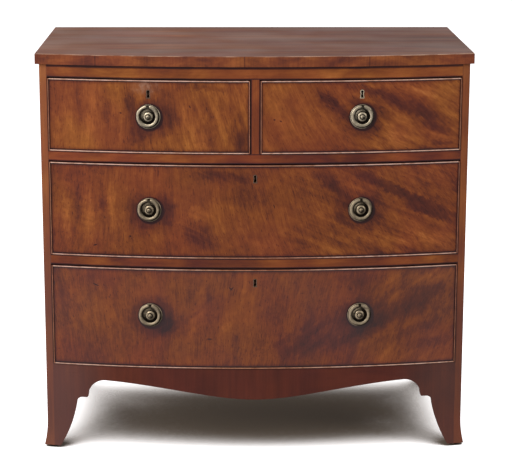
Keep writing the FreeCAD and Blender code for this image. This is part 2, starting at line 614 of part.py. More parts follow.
def handle_mount(z):
    """Backplate, the lug riveted to it, the hinge pin, the boss with its bolt, and the nut."""
    rim = [(PLATE_RADIUS, PLATE_DISH - 0.2), (PLATE_RADIUS - PLATE_RIM_WIDTH / 2, PLATE_RIM),
           (PLATE_RADIUS - PLATE_RIM_WIDTH, PLATE_DISH)]
    plate = turned_on_y([[(BOLT_RADIUS, 0.0)], [(PLATE_RADIUS, 0.0)], rim, [(BOLT_RADIUS, PLATE_DISH)]], z)
    pivot_z = z + RING_LIFT + RING_RADIUS
    pivot_y = FRONT_Y - PIVOT_HEIGHT
    pin = cylinder_x(LUG_HALF_WIDTH + PIVOT_REACH, PIVOT_RADIUS, pivot_y, pivot_z)
    lug_foot = block(-LUG_HALF_WIDTH, LUG_HALF_WIDTH, pivot_y, FRONT_Y - PLATE_DISH, pivot_z - LUG_RADIUS,
                     pivot_z + LUG_RADIUS)
    lug = joined([lug_foot, cylinder_x(LUG_HALF_WIDTH, LUG_RADIUS, pivot_y, pivot_z)]).cut(pin)
    bolt_end = -FRONT_THICKNESS - NUT_THICKNESS - BOLT_RADIUS
    shank = [[(0.0, bolt_end)], [(BOLT_RADIUS, bolt_end)], [(BOLT_RADIUS, PLATE_DISH)],
             [(BOSS_RADIUS, PLATE_DISH)]]
    boss = turned_on_y(shank + BOSS_STEPS, z)
    nut_y = FRONT_Y + FRONT_THICKNESS + NUT_CLEARANCE
    half = NUT_WIDTH / 2
    nut = block(-half, half, nut_y, nut_y + NUT_THICKNESS, z - half, z + half)
    nut = nut.cut(cylinder_y(0.0, z, BOLT_RADIUS, nut_y - BEYOND, nut_y + BEYOND))
    return [plate, lug, pin, boss, nut]


def handle_ring(z):
    """Hanging ring, open at the top where its two ends turn on the hinge pin."""
    centre_z = z + RING_LIFT
    pivot_y = FRONT_Y - PIVOT_HEIGHT
    half = RING_WIDTH / 2
    thick = RING_THICKNESS / 2
    inner = RING_RADIUS - half
    outer = RING_RADIUS + half
    low = PIVOT_HEIGHT - thick
    high = PIVOT_HEIGHT + thick
    section = [[(inner + thick, high), (inner, PIVOT_HEIGHT), (inner + thick, low)],
               [(outer - thick, low), (outer, PIVOT_HEIGHT), (outer - thick, high)]]
    ring = turned_on_y(section, centre_z)
    pivot_z = centre_z + RING_RADIUS
    gap = LUG_HALF_WIDTH + LUG_CLEARANCE
    opening = block(-gap, gap, pivot_y - BEYOND, pivot_y + BEYOND, centre_z, pivot_z + BEYOND)
    hole = cylinder_x(LUG_HALF_WIDTH + PIVOT_REACH + PIVOT_END_CLEARANCE, PIVOT_RADIUS + PIVOT_CLEARANCE,
                      pivot_y, pivot_z)
    return ring.cut([opening, hole])


def build_drawer(name, left, right, bottom, top, handle_xs, handle_z, key_x):
    x0 = left + GAP_BESIDE
    x1 = right - GAP_BESIDE
    z0 = bottom + GAP_BELOW
    z1 = top - GAP_ABOVE
    front_board = bowed_band(x0, x1, FRONT_THICKNESS, z0, z1)
    side_left = left + DRAWER_SIDE_INSET
    side_right = right - DRAWER_SIDE_INSET
    side_top = z1 - DRAWER_SIDE_DROP
    floor_z = z0 + DRAWER_BOTTOM_RAISE
    back_board = block(side_left, side_right, DRAWER_BACK_Y - DRAWER_SIDE_THICKNESS, DRAWER_BACK_Y,
                       floor_z + DRAWER_BOTTOM_THICKNESS, z1 - DRAWER_BACK_DROP)
    inner_left = side_left + DRAWER_SIDE_THICKNESS
    inner_right = side_right - DRAWER_SIDE_THICKNESS
    floor = bowed_slab(inner_left - GROOVE_DEPTH, inner_right + GROOVE_DEPTH, GROOVE_DEPTH - FRONT_THICKNESS,
                       DRAWER_BACK_Y, floor_z, floor_z + DRAWER_BOTTOM_THICKNESS)
    sides = [drawer_side(side_left, inner_left, z0, side_top, front_board, back_board),
             drawer_side(inner_right, side_right, z0, side_top, front_board, back_board)]
    bead = cockbead(x0, x1, z0, z1)
    sides = [side.cut([floor] + bead) for side in sides]

    lock, bolt, pocket = lock_pieces(z1)
    key_z = z1 - KEYHOLE_DROP
    escutcheon = keyhole(ESCUTCHEON_RIM, FRONT_Y - ESCUTCHEON_PROUD, FRONT_Y + ESCUTCHEON_DEPTH, key_z)
    key_hole = keyhole(0.0, FRONT_Y - BEYOND, FRONT_Y + LOCK_SETBACK, key_z)
    cuts = [swung(piece, key_x) for piece in (pocket, escutcheon, key_hole)]
    for x in handle_xs:
        cuts.append(swung(cylinder_y(0.0, handle_z, BOLT_RADIUS, FRONT_Y - BEYOND, FRONT_Y + BEYOND), x))
    front = front_board.cut(bead + sides + [floor] + cuts)

    nodes = {
        name + "_front": [front],
        name + "_cockbead": bead,
        name + "_sides": sides,
        name + "_back": [back_board.cut(sides)],
        name + "_bottom": [floor],
        name + "_lock": [swung(lock, key_x)],
        name + "_lock_bolt": [swung(bolt, key_x)],
        name + "_escutcheon": [swung(escutcheon.cut(key_hole), key_x)],
        name + "_handle_plates": [swung(piece, x) for x in handle_xs for piece in handle_mount(handle_z)],
    }
    for x in handle_xs:
        suffix = "_ring" if len(handle_xs) == 1 else "_ring_left" if x < 0 else "_ring_right"
        nodes[name + suffix] = [swung(handle_ring(handle_z), x)]
    return nodes


# ---- Build --------------------------------------------------------------------------------------

def main():
    os.makedirs("parts", exist_ok=True)
    nodes = build_case()
    nodes.update(build_feet())
    for drawer in DRAWERS:
        nodes.update(build_drawer(*drawer))
    for name, solids in nodes.items():
        shape = solids[0] if len(solids) == 1 else Part.makeCompound(solids)
        shape.exportStep("parts/" + name + ".step")
        volume = sum(solid.Volume for solid in solids) / 1000
        print(f"{name}: {len(shape.Solids)} solids, {volume:.1f} cm3, valid {shape.isValid()}")


main()
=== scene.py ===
import json
import math

import bmesh
import bpy
from mathutils import Matrix, Vector

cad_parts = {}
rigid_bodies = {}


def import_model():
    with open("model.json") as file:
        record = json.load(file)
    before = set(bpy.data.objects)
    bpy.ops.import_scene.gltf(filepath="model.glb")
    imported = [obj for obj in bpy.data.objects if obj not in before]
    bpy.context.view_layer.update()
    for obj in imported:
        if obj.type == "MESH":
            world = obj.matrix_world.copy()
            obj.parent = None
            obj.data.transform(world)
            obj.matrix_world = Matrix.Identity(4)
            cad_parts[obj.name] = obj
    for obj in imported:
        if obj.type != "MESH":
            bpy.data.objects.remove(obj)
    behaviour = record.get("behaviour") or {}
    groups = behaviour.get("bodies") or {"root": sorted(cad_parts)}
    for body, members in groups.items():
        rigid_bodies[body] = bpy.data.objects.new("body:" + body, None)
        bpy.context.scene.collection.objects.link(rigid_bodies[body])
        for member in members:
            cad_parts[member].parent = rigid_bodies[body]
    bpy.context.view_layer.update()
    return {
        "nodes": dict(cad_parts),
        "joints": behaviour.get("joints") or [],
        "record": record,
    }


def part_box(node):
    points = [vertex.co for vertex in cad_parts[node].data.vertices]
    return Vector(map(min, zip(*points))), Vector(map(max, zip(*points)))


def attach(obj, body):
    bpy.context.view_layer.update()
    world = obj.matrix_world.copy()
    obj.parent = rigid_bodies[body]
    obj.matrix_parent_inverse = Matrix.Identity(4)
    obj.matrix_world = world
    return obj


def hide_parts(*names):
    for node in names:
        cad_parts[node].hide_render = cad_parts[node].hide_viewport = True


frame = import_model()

# Looks of the bow front chest of drawers. Metres, +X right, -Y front, +Z up, as in the frame.

MM = 0.001

# ---- Driving values -----------------------------------------------------------------------------

CAMERA_PLACE = (-0.0631, -4.0085, 1.3480)
CAMERA_TURN = math.radians(0.97)
CAMERA_TILT = math.radians(-13.07)
CAMERA_ROLL = math.radians(0.095)
CAMERA_LENS = 128.77

# The handles, as their CAD solids have them. Heights are off the drawer's face.
PLATE_DISH = 1.4 * MM
BOSS_RADIUS = 10.6 * MM
BOLT_RADIUS = 2.5 * MM
BOLT_REACH = 26.4 * MM
THREAD_PITCH = 0.9 * MM
THREAD_DEPTH = 0.3 * MM
NUT_WIDTH = 12.0 * MM
NUT_PLACE = 20.1 * MM
NUT_THICKNESS = 4.0 * MM
RING_RADIUS = 20.0 * MM
RING_WIDTH = 8.8 * MM
RING_THICKNESS = 5.2 * MM
RING_LIFT = 0.8 * MM
RING_HALF_GAP = 2.3 * MM
PIVOT_HEIGHT = 6.4 * MM
PIVOT_RADIUS = 1.2 * MM
PIVOT_REACH = 6.5 * MM
LUG_HALF_WIDTH = 1.9 * MM
LUG_RADIUS = 2.8 * MM

# Their finer detail. Grime, with painted shade in places, goes from 0, rubbed bright, to 1, dull.
HANDLE_SEGMENTS = 144
BOLT_SEGMENTS = 24
BOLT_TOP = 1.0 * MM
BOLT_TIP = 0.7
BOLT_GRIME = 0.8
FLUTES = 36
FLUTE_RISE = 0.5 * MM
FLUTE_INNER = BOSS_RADIUS + 0.5 * MM
FLUTE_OUTER = 15.0 * MM
FLUTE_RUBBED = 0.35
LUG_POINTS = 13
PIN_POINTS = 24
NUT_EASED = 1.4 * MM
NUT_FRONT_BEVEL = 0.6 * MM
NUT_BACK_BEVEL = 1.0 * MM
RING_SECTION_POINTS = 20
RING_STEPS = 120
RING_DOME = 0.8
RING_END_SIZE = 0.8
RING_TAPER = 3.2 * MM
RING_GRIME = 0.6
RING_CROWN_RUBBED = 0.12
RING_LOWER_RIGHT_SHADE = 0.8

KEYHOLE_DROP = 24.7 * MM
KEYHOLE_RADIUS = 2.7 * MM
KEYHOLE_HEIGHT = 15.0 * MM
KEYHOLE_NECK = 1.5 * MM
KEYHOLE_FOOT = 2.9 * MM
KEYHOLE_POINTS = 19
ESCUTCHEON_RIM = 1.8 * MM
ESCUTCHEON_PROUD = 0.4 * MM
ESCUTCHEON_DEPTH = 3.0 * MM
LOCK_HOLLOW = 20 * MM

VENEER_THICKNESS = 1.6 * MM
FACING_DEPTH = 6.0 * MM
BEAD_THICKNESS = 3.2 * MM
BEAD_PROUD = 3.0 * MM
STILE_INNER = 434.0 * MM

# How far from the middle, in metres, the apron's darker part begins and ends fading.
APRON_FADE = (0.28, 0.42)

# Where the cross-grained veneer of the top's edge is joined, across the front.
EDGE_SEAMS = (-331 * MM, -22 * MM, 236 * MM)

# The softboxes: place, the point that each one faces, length of its sides and power in watts.
SOFTBOXES = {
    "key": ((-1.8, -2.3, 2.0), (0.0, -0.2, 0.6), 1.4, 44.0),
    "overhead": ((-0.5, -2.2, 2.6), (0.0, -0.2, 0.6), 1.2, 12.0),
    "left_fill": ((-2.6, -0.5, 1.2), (-0.3, 0.0, 0.3), 1.0, 18.0),
    "right_fill": ((2.4, -1.7, 1.4), (0.2, -0.2, 0.5), 1.2, 17.0),
    "back_fill": ((1.8, 2.2, 1.8), (0.0, 0.2, 0.5), 1.6, 16.0),
}
SKY_LIGHT = 0.42
SKY_SEEN = 1.0
FLOOR_REACH = 60.0
SHADOW_REACH = 0.9


def bow_radius_and_centre():
    """Radius of the drawer fronts' bow, and Y of its axis."""
    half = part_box("side_panel_right")[1].x
    panel = frame["nodes"]["side_panel_right"].data
    corner = min(v.co.y for v in panel.vertices if v.co.x > half - 0.1 * MM)
    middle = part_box("apron")[0].y
    rise = corner - middle
    radius = (half * half + rise * rise) / (2 * rise)
    return radius, middle + radius


BOW_RADIUS, BOW_CENTRE_Y = bow_radius_and_centre()


def srgb(red, green, blue):
    """Linear colour of an sRGB colour whose channels go to 255."""
    channels = [c / 255 for c in (red, green, blue)]
    linear = [c / 12.92 if c <= 0.04045 else ((c + 0.055) / 1.055) ** 2.4 for c in channels]
    return (*linear, 1.0)


# ---- Camera, floor and light --------------------------------------------------------------------

WHITE = (1.0, 1.0, 1.0, 1.0)
FLOOR_LIT = srgb(180, 180, 180)
# Floor colours: a painted shade under the chest, the open floor, and a warm painted bounce at the shadow's
# edge.
FLOOR_SHADE = srgb(114, 101, 86)
FLOOR_OPEN = srgb(244, 244, 248)
PAINTED_WARM_BOUNCE = srgb(250, 238, 226)


def scene_object(name, data):
    """A new object, linked to the scene."""
    made = bpy.data.objects.new(name, data)
    bpy.context.scene.collection.objects.link(made)
    return made


def make_camera():
    """The photo's camera, but tilted where the photo's is shifted, so that other views keep the chest."""
    data = bpy.data.cameras.new("camera")
    data.lens = CAMERA_LENS
    camera = scene_object("camera", data)
    camera.location = CAMERA_PLACE
    camera.rotation_euler = (math.radians(90) + CAMERA_TILT, -CAMERA_ROLL, -CAMERA_TURN)
    bpy.context.scene.camera = camera


def seen_directly(tree):
    """1 where a camera, mirror or glass ray looks straight at the surface, and 0 for its light."""
    path = tree.nodes.new("ShaderNodeLightPath")
    total = path.outputs["Is Camera Ray"]
    for name in ("Is Glossy Ray", "Is Transmission Ray"):
        larger = tree.nodes.new("ShaderNodeMath")
        larger.operation = "MAXIMUM"
        tree.links.new(total, larger.inputs[0])
        tree.links.new(path.outputs[name], larger.inputs[1])
        total = larger.outputs[0]
    return total


def make_world():
    """A sky that is white to look at and lights the chest at a lower strength."""
    world = bpy.data.worlds.new("studio")
    bpy.context.scene.world = world
    world.use_nodes = True
    tree = world.node_tree
    background = tree.nodes["Background"]
    background.inputs["Color"].default_value = WHITE
    strength = tree.nodes.new("ShaderNodeMapRange")
    strength.inputs["To Min"].default_value = SKY_LIGHT
    strength.inputs["To Max"].default_value = SKY_SEEN
    tree.links.new(seen_directly(tree), strength.inputs["Value"])
    tree.links.new(strength.outputs[0], background.inputs["Strength"])


def make_floor():
    """Pale floor that looks white where it is open to the sky, with a painted shadow under the chest. Its
    ramps run over the share of open sky, which counts for less towards the right, painting that side darker,
    and its glow is tinted warm at the shadow's edge, a painted bounce from the wood."""
    mesh = bpy.data.meshes.new("floor")
    signs = ((-1, -1), (1, -1), (1, 1), (-1, 1))
    mesh.from_pydata([(x * FLOOR_REACH, y * FLOOR_REACH, 0) for x, y in signs], [], [(0, 1, 2, 3)])
    floor = scene_object("floor", mesh)
    s = Shader("studio_floor")
    s.tree.nodes.remove(s.surface)
    direct = seen_directly(s.tree)
    diffuse = s.node("ShaderNodeBsdfDiffuse")
    openness = s.node("ShaderNodeAmbientOcclusion", samples=32)
    openness.inputs["Distance"].default_value = SHADOW_REACH
    # Painted shadow: colour and glow follow the share of open sky, and the x term paints the right side
    # darker.
    open_sky = s.total((openness.outputs["AO"], 1.0), (s.parts(s.place)[0], -0.06))
    painted_floor_shadow = s.colours(s.ramp(open_sky, 0.2, 0.44), [(0.0, FLOOR_SHADE), (1.0, FLOOR_OPEN)])
    s.put(diffuse.inputs["Color"], s.mix(direct, FLOOR_LIT, painted_floor_shadow))
    glow = s.node("ShaderNodeEmission")
    lift = s.ramp(open_sky, 0.26, 0.54)
    s.put(glow.inputs["Color"], s.mix(lift, PAINTED_WARM_BOUNCE, WHITE))
    s.put(glow.inputs["Strength"], s.math("MULTIPLY", direct, s.total((lift, 0.975), (1.0, 0.025))))
    both = s.node("ShaderNodeAddShader")
    s.put(both.inputs[0], diffuse.outputs[0])
    s.put(both.inputs[1], glow.outputs[0])
    s.put(s.tree.nodes["Material Output"].inputs["Surface"], both.outputs[0])
    mesh.materials.append(s.material)


def make_softbox(name, place, target, size, power):
    """A square lamp that faces a point."""
    data = bpy.data.lights.new(name, "AREA")
    data.shape = "SQUARE"
    data.size = size
    data.energy = power
    lamp = scene_object(name, data)
    lamp.location = place
    lamp.rotation_euler = (Vector(target) - Vector(place)).to_track_quat("-Z", "Y").to_euler()


# ---- Material nodes -----------------------------------------------------------------------------

class Shader:
    """One material's nodes. Wherever a value is wanted, a socket may be given instead."""

    def __init__(self, name):
        self.material = bpy.data.materials.new(name)
        self.material.use_nodes = True
        self.tree = self.material.node_tree
        self.surface = self.tree.nodes["Principled BSDF"]
        self.place = self.node("ShaderNodeTexCoord").outputs["Object"]

    def node(self, kind, **settings):
        made = self.tree.nodes.new(kind)
        for key, value in settings.items():
            setattr(made, key, value)
        return made

    def put(self, socket, value):
        if isinstance(value, bpy.types.NodeSocket):
            self.tree.links.new(value, socket)
        else:
            socket.default_value = value

    def set(self, **values):
        """Puts values in the surface's own sockets. specular_ior_level means Specular IOR Level."""
        names = {key.lower().replace(" ", "_"): key for key in self.surface.inputs.keys()}
        for key, value in values.items():
            self.put(self.surface.inputs[names[key]], value)

    def math(self, operation, first, second=0.0):
        made = self.node("ShaderNodeMath", operation=operation)
        self.put(made.inputs[0], first)
        self.put(made.inputs[1], second)
        return made.outputs[0]

    def total(self, *terms):
        """Sum of (value, weight) terms."""
        result = 0.0
        for value, weight in terms:
            made = self.node("ShaderNodeMath", operation="MULTIPLY_ADD")
            self.put(made.inputs[0], value)
            self.put(made.inputs[1], weight)
            self.put(made.inputs[2], result)
            result = made.outputs[0]
        return result

    def ramp(self, value, low, high, to_low=0.0, to_high=1.0):
        """Smooth step from to_low at low to to_high at high."""
        made = self.node("ShaderNodeMapRange", interpolation_type="SMOOTHSTEP")
        for socket, given in zip(made.inputs, (value, low, high, to_low, to_high)):
            self.put(socket, given)
        return made.outputs[0]

    def vector(self, x, y, z):
        made = self.node("ShaderNodeCombineXYZ")
        for socket, given in zip(made.inputs, (x, y, z)):
            self.put(socket, given)
        return made.outputs[0]

    def parts(self, vector):
        return self.with_vector("ShaderNodeSeparateXYZ", vector).outputs

    def with_vector(self, kind, vector, **settings):
        made = self.node(kind, **settings)
        self.put(made.inputs["Vector"], vector)
        return made

    def scaled(self, vector, scale, place=(0.0, 0.0, 0.0)):
        made = self.with_vector("ShaderNodeMapping", vector)
        made.inputs["Scale"].default_value = scale
        made.inputs["Location"].default_value = place
        return made.outputs[0]

    def noise(self, vector, scale=1.0, detail=3.0, roughness=0.5, distortion=0.0):
        """Noise at a vector, mostly between 0.3 and 0.7."""
        made = self.with_vector("ShaderNodeTexNoise", vector)
        made.inputs["Scale"].default_value = scale
        made.inputs["Detail"].default_value = detail
        made.inputs["Roughness"].default_value = roughness
        made.inputs["Distortion"].default_value = distortion
        return made.outputs["Fac"]

    def drifting(self, seed, amount):
        """The place, wandering by up to half an amount, so that what is drawn by it has uneven edges."""
        stretched = self.scaled(self.place, (16.0, 1.0, 20.0), (seed, 0.0, 0.0))
        made = self.with_vector("ShaderNodeTexNoise", stretched)
        made.inputs["Detail"].default_value = 3.0
        moved = self.node("ShaderNodeVectorMath", operation="MULTIPLY_ADD")
        centred = self.scaled(self.place, (1.0, 1.0, 1.0), (-amount / 2, 0.0, -amount / 2))
        for socket, given in zip(moved.inputs, (made.outputs["Color"], (amount, 0.0, amount), centred)):
            self.put(socket, given)
        return moved.outputs[0]

    def blob(self, vector, x, z, half_long, half_wide, turn=0.0, fade=0.6):
        """1 about the middle of an ellipse in the XZ plane, 0 at its rim. turn drops its right end, and it
        is so long in Y that depth makes no difference."""
        made = self.with_vector("ShaderNodeMapping", vector, vector_type="TEXTURE")
        made.inputs["Location"].default_value = (x, 0.0, z)
        made.inputs["Rotation"].default_value = (0.0, math.radians(turn), 0.0)
        made.inputs["Scale"].default_value = (half_long, 1000.0, half_wide)
        gradient = self.with_vector("ShaderNodeTexGradient", made.outputs[0], gradient_type="SPHERICAL")
        return self.ramp(gradient.outputs["Fac"], 0.0, fade)

    def colours(self, value, stops):
        """Colour along stops of (position, colour)."""
        made = self.node("ShaderNodeValToRGB")
        self.put(made.inputs[0], value)
        elements = made.color_ramp.elements
        while len(elements) < len(stops):
            elements.new(1.0)
        for element, (position, colour) in zip(elements, stops):
            element.position = position
            element.color = colour
        return made.outputs[0]

    def mix(self, factor, first, second):
        """Mixed colour. The node's colour sockets go by number, because its other kinds share their names."""
        made = self.node("ShaderNodeMix", data_type="RGBA")
        self.put(made.inputs["Factor"], factor)
        self.put(made.inputs[6], first)
        self.put(made.inputs[7], second)
        return made.outputs[2]

    def bumped(self, height, distance, rounding=0.0):
        """Normal with a bump of height in metres times distance, on edges rounded by a radius."""
        made = self.node("ShaderNodeBump")
        made.inputs["Strength"].default_value = 1.0
        made.inputs["Distance"].default_value = distance
        self.put(made.inputs["Height"], height)
        if rounding:
            rounded = self.node("ShaderNodeBevel", samples=6)
            rounded.inputs["Radius"].default_value = rounding
            self.put(made.inputs["Normal"], rounded.outputs[0])
        return made.outputs[0]

    def behind_bow(self):
        """How far a point lies behind the bowed face, in metres."""
        x, y, _ = self.parts(self.place)
        back = self.math("SUBTRACT", y, BOW_CENTRE_Y)
        square = self.total((x, x), (back, back))
        return self.math("SUBTRACT", BOW_RADIUS, self.math("SQRT", square))


# ---- Wood ---------------------------------------------------------------------------------------

GOLD = [(0.0, srgb(42, 19, 17)), (0.3, srgb(84, 40, 24)), (0.55, srgb(124, 67, 30)),
        (0.78, srgb(156, 94, 42)), (1.0, srgb(188, 124, 62))]
RED = [(0.0, srgb(40, 17, 22)), (0.3, srgb(80, 34, 30)), (0.55, srgb(114, 53, 33)),
       (0.78, srgb(142, 71, 40)), (1.0, srgb(170, 96, 56))]
OAK = [(0.0, srgb(88, 62, 42)), (0.4, srgb(140, 102, 71)),
       (0.7, srgb(167, 126, 90)), (1.0, srgb(194, 154, 116))]
PINE = [(0.0, srgb(76, 54, 38)), (0.4, srgb(124, 90, 63)),
        (0.7, srgb(152, 114, 80)), (1.0, srgb(178, 141, 105))]
# Named colours. CASE_HAZE is old wax; the top's haze colours are a painted sheen, the arris and bead colours
# painted highlights with some wear, and the front's worn colour a worn patch that is partly a painted sheen.
CASE_HAZE = srgb(116, 84, 78)
APRON_RED = srgb(118, 56, 38)
FRONT_WORN_SHEEN = srgb(146, 112, 96)
TOP_PAINTED_SHEEN = srgb(132, 108, 96)
TOP_EDGE_PAINTED_SHEEN = srgb(136, 98, 84)
ARRIS_WORN_AND_HIGHLIT = srgb(196, 158, 134)
BEAD_PAINTED_HIGHLIGHT = srgb(218, 180, 162)


def along_grain(s, direction, seed):
    """Coordinates whose X runs along the grain: direction is the world axis that the grain follows."""
    x, y, z = s.parts(s.place)
    order = {"x": (x, y, z), "y": (y, x, z), "z": (z, x, y)}[direction]
    return s.scaled(s.vector(*order), (1.0, 1.0, 1.0), (seed * 3.1, seed * 1.7, seed * 2.3))


def grain_lines(s, grain):
    """Coarse streaks, fine streaks and open pores along the grain, each from 0 to 1."""
    coarse = s.noise(s.scaled(grain, (3.0, 70.0, 70.0)), detail=4.0, roughness=0.6)
    fine = s.noise(s.scaled(grain, (14.0, 420.0, 420.0)), detail=3.0, roughness=0.6)
    pores = s.ramp(s.noise(s.scaled(grain, (90.0, 1500.0, 1500.0)), detail=2.0), 0.60, 0.72)
    return coarse, fine, pores


def wood_colour(s, tone, redness, seed):
    """Mahogany colour of a tone, which wanders between golden and red about a redness of 0 to 1."""
    wander = s.noise(s.scaled(s.place, (7.0, 7.0, 7.0), (seed * 2.9, 0.0, seed)), detail=2.0)
    factor = s.ramp(wander, 0.35, 0.65, redness - 0.3, redness + 0.3)
    return s.mix(factor, s.colours(tone, GOLD), s.colours(tone, RED))


def polish(s, colour, fine, pores, roughness=0.38, specular=0.12, rounding=0.5 * MM):
    """French polish: soft gloss, filled grain, small dents. A roughness that is a number varies a little."""
    dents = s.ramp(s.noise(s.place, 38.0, 2.0), 0.66, 0.74)
    height = s.total((fine, 0.25), (pores, -0.35), (dents, -1.2))
    if not isinstance(roughness, bpy.types.NodeSocket):
        haze = s.noise(s.place, 6.0, 4.0)
        roughness = s.ramp(haze, 0.3, 0.7, roughness - 0.06, roughness + 0.1)
    s.set(base_color=colour, roughness=roughness, specular_ior_level=specular,
          normal=s.bumped(height, 0.1 * MM, rounding))


def dark_edge(s, distance, reach=2.2 * MM):
    """1 at an edge, 0 from a reach inside it. It marks grime and dark joints, and along the gaps by the
    drawers a painted shade as well.
    """
    return s.ramp(distance, 0.2 * MM, reach, 1.0, 0.0)


def case_wood():
    """Case sides, apron and feet: upright figure that runs on from one to the next, redder and darker in the
    middle of the apron, hazed with old wax at the feet, with long grain right of the middle, and painted
    lighter towards the top and darker to the right, as the light falls."""
    s = Shader("case_mahogany")
    x, _, z = s.parts(s.place)
    from_middle = s.math("ABSOLUTE", x)
    coarse, fine, pores = grain_lines(s, along_grain(s, "z", 1.0))
    level = s.noise(s.scaled(along_grain(s, "x", 5.0), (3.0, 60.0, 60.0)), detail=4.0)
    long_grain = s.math("MULTIPLY", s.ramp(x, 0.08, 0.2), s.ramp(x, 0.30, 0.38, 1.0, 0.0))
    upright = s.math("SUBTRACT", 1.0, long_grain)
    patches = s.noise(s.scaled(s.place, (12.0, 12.0, 8.0)), detail=4.0, distortion=0.6)
    # Painted shade with grime: darker at the stiles' inner edges and on the apron just under the lower
    # drawer.
    stile_edge = dark_edge(s, s.math("SUBTRACT", from_middle, STILE_INNER))
    under_drawer = dark_edge(s, s.math("SUBTRACT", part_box("apron")[1].z, z), 3.0 * MM)
    in_apron = s.ramp(from_middle, *APRON_FADE, 1.0, 0.0)
    # The ramp over height paints the case lighter towards the top, and the x term paints it darker to the
    # right: painted light and shade.
    value = s.total((s.math("MULTIPLY", coarse, upright), 0.5), (s.math("MULTIPLY", level, long_grain), 0.6),
                    (patches, 0.5), (fine, 0.18), (pores, -0.12), (stile_edge, -0.25),
                    (s.math("MULTIPLY", under_drawer, in_apron), -0.3), (s.ramp(z, 0.12, 0.7), 0.25),
                    (s.ramp(z, 0.0, 0.12), -0.06), (in_apron, -0.06), (x, -0.05), (1.0, -0.09))
    haze = s.math("MULTIPLY", s.ramp(z, 0.6, 0.1, 0.2, 0.45), s.ramp(from_middle, *APRON_FADE, 0.1, 1.0))
    haze = s.math("MULTIPLY", haze, s.ramp(x, -0.4, 0.4, 1.0, 0.65))
    redder = s.ramp(in_apron, 0.0, 1.0, 0.0, 0.25)
    wood = s.mix(redder, wood_colour(s, value, 0.45, 1.0), APRON_RED)
    polish(s, s.mix(haze, wood, CASE_HAZE), fine, pores, specular=0.08)
    return s.material


def raw_wood(name, direction, seed, stops, tone=0.5):
    """Unpolished secondary wood, greyed and stained with age."""
    s = Shader(name)
    coarse, fine, pores = grain_lines(s, along_grain(s, direction, seed))
    stains = s.noise(s.place, 5.0, 5.0, 0.6)
    value = s.total((stains, 0.7), (coarse, 0.5), (fine, 0.25), (pores, -0.25), (1.0, tone - 0.72))
    height = s.total((fine, 0.6), (pores, -0.8), (coarse, 0.5))
    s.set(base_color=s.colours(value, stops), roughness=s.ramp(coarse, 0.3, 0.7, 0.62, 0.8),
          specular_ior_level=0.2, normal=s.bumped(height, 0.25 * MM, 0.6 * MM))
    return s.material


def faced_rail(name, node, direction, seed, tone, redness, paler=0.0, overhang_shadow_depth=0.0):
    """A rail of secondary wood with a polished mahogany facing along the bow, with painted shade along its
    edges, where the gaps are, and a painted shadow over a depth below its upper one, under the top's
    overhang. It grows paler by so much for each metre to the right."""
    s = Shader(name)
    low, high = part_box(node)
    grain = along_grain(s, direction, seed)
    coarse, fine, pores = grain_lines(s, grain)
    patches = s.noise(s.scaled(grain, (9.0, 14.0, 14.0)), detail=4.0, distortion=0.6)
    places = s.parts(s.place)
    axis = "xyz".index("x" if direction == "z" else "z")
    to_low = s.math("SUBTRACT", places[axis], low[axis])
    to_high = s.math("SUBTRACT", high[axis], places[axis])
    # Its dark edges are painted shade in the gaps beside it.
    value = s.total((patches, 1.0), (coarse, 0.45), (fine, 0.2), (pores, -0.12),
                    (dark_edge(s, to_low, 3.6 * MM), -0.6), (dark_edge(s, to_high, 3.0 * MM), -0.45),
                    (places[0], paler), (1.0, tone - 0.8))
    # A painted shadow under the top's overhang.
    if overhang_shadow_depth:
        value = s.total((value, 1.0), (s.ramp(to_high, 0.6 * overhang_shadow_depth, overhang_shadow_depth, 1.0, 0.0), -0.5))
    facing = wood_colour(s, value, redness, seed)
    core = s.colours(s.total((coarse, 0.8), (fine, 0.3), (1.0, -0.1)), PINE)
    behind = s.ramp(s.behind_bow(), FACING_DEPTH, FACING_DEPTH + 0.2 * MM)
    roughness = s.ramp(behind, 0.0, 1.0, 0.4, 0.75)
    polish(s, s.mix(behind, facing, core), fine, pores, roughness)
    return s.material


# Marks of the drawer fronts' figure, in millimetres from the front's middle: place across and up, half
# length, half width, how far the right end drops in degrees, and how much darker or lighter it is.
SHORT_LEFT_MARKS = [
    (-170, 8, 62, 13, 88, 0.10), (-120, 0, 66, 15, 92, 0.13), (-86, -5, 60, 10, 90, -0.10),
    (-146, 5, 60, 8, 90, -0.06), (-38, 36, 36, 17, 84, -0.26), (-20, -42, 34, 28, 70, -0.15),
    (31, 55, 30, 15, 20, -0.10), (112, 62, 62, 8, 4, -0.17), (84, -38, 60, 20, 76, 0.12),
    (140, -10, 58, 14, 72, 0.06), (192, -50, 34, 18, 100, -0.22), (52, 6, 40, 10, 70, -0.07)]
SHORT_RIGHT_MARKS = [
    (104, 16, 118, 22, 23, -0.34), (-62, 28, 60, 17, 43, -0.36), (18, 20, 60, 14, 26, -0.16),
    (152, -26, 58, 11, 19, -0.24), (172, -60, 44, 9, 8, -0.24), (128, 50, 62, 15, 14, 0.12),
    (66, -46, 72, 17, 14, 0.15), (-118, -10, 70, 50, 30, 0.06), (8, 56, 66, 13, 14, -0.22),
    (-150, 20, 40, 14, 50, -0.05)]
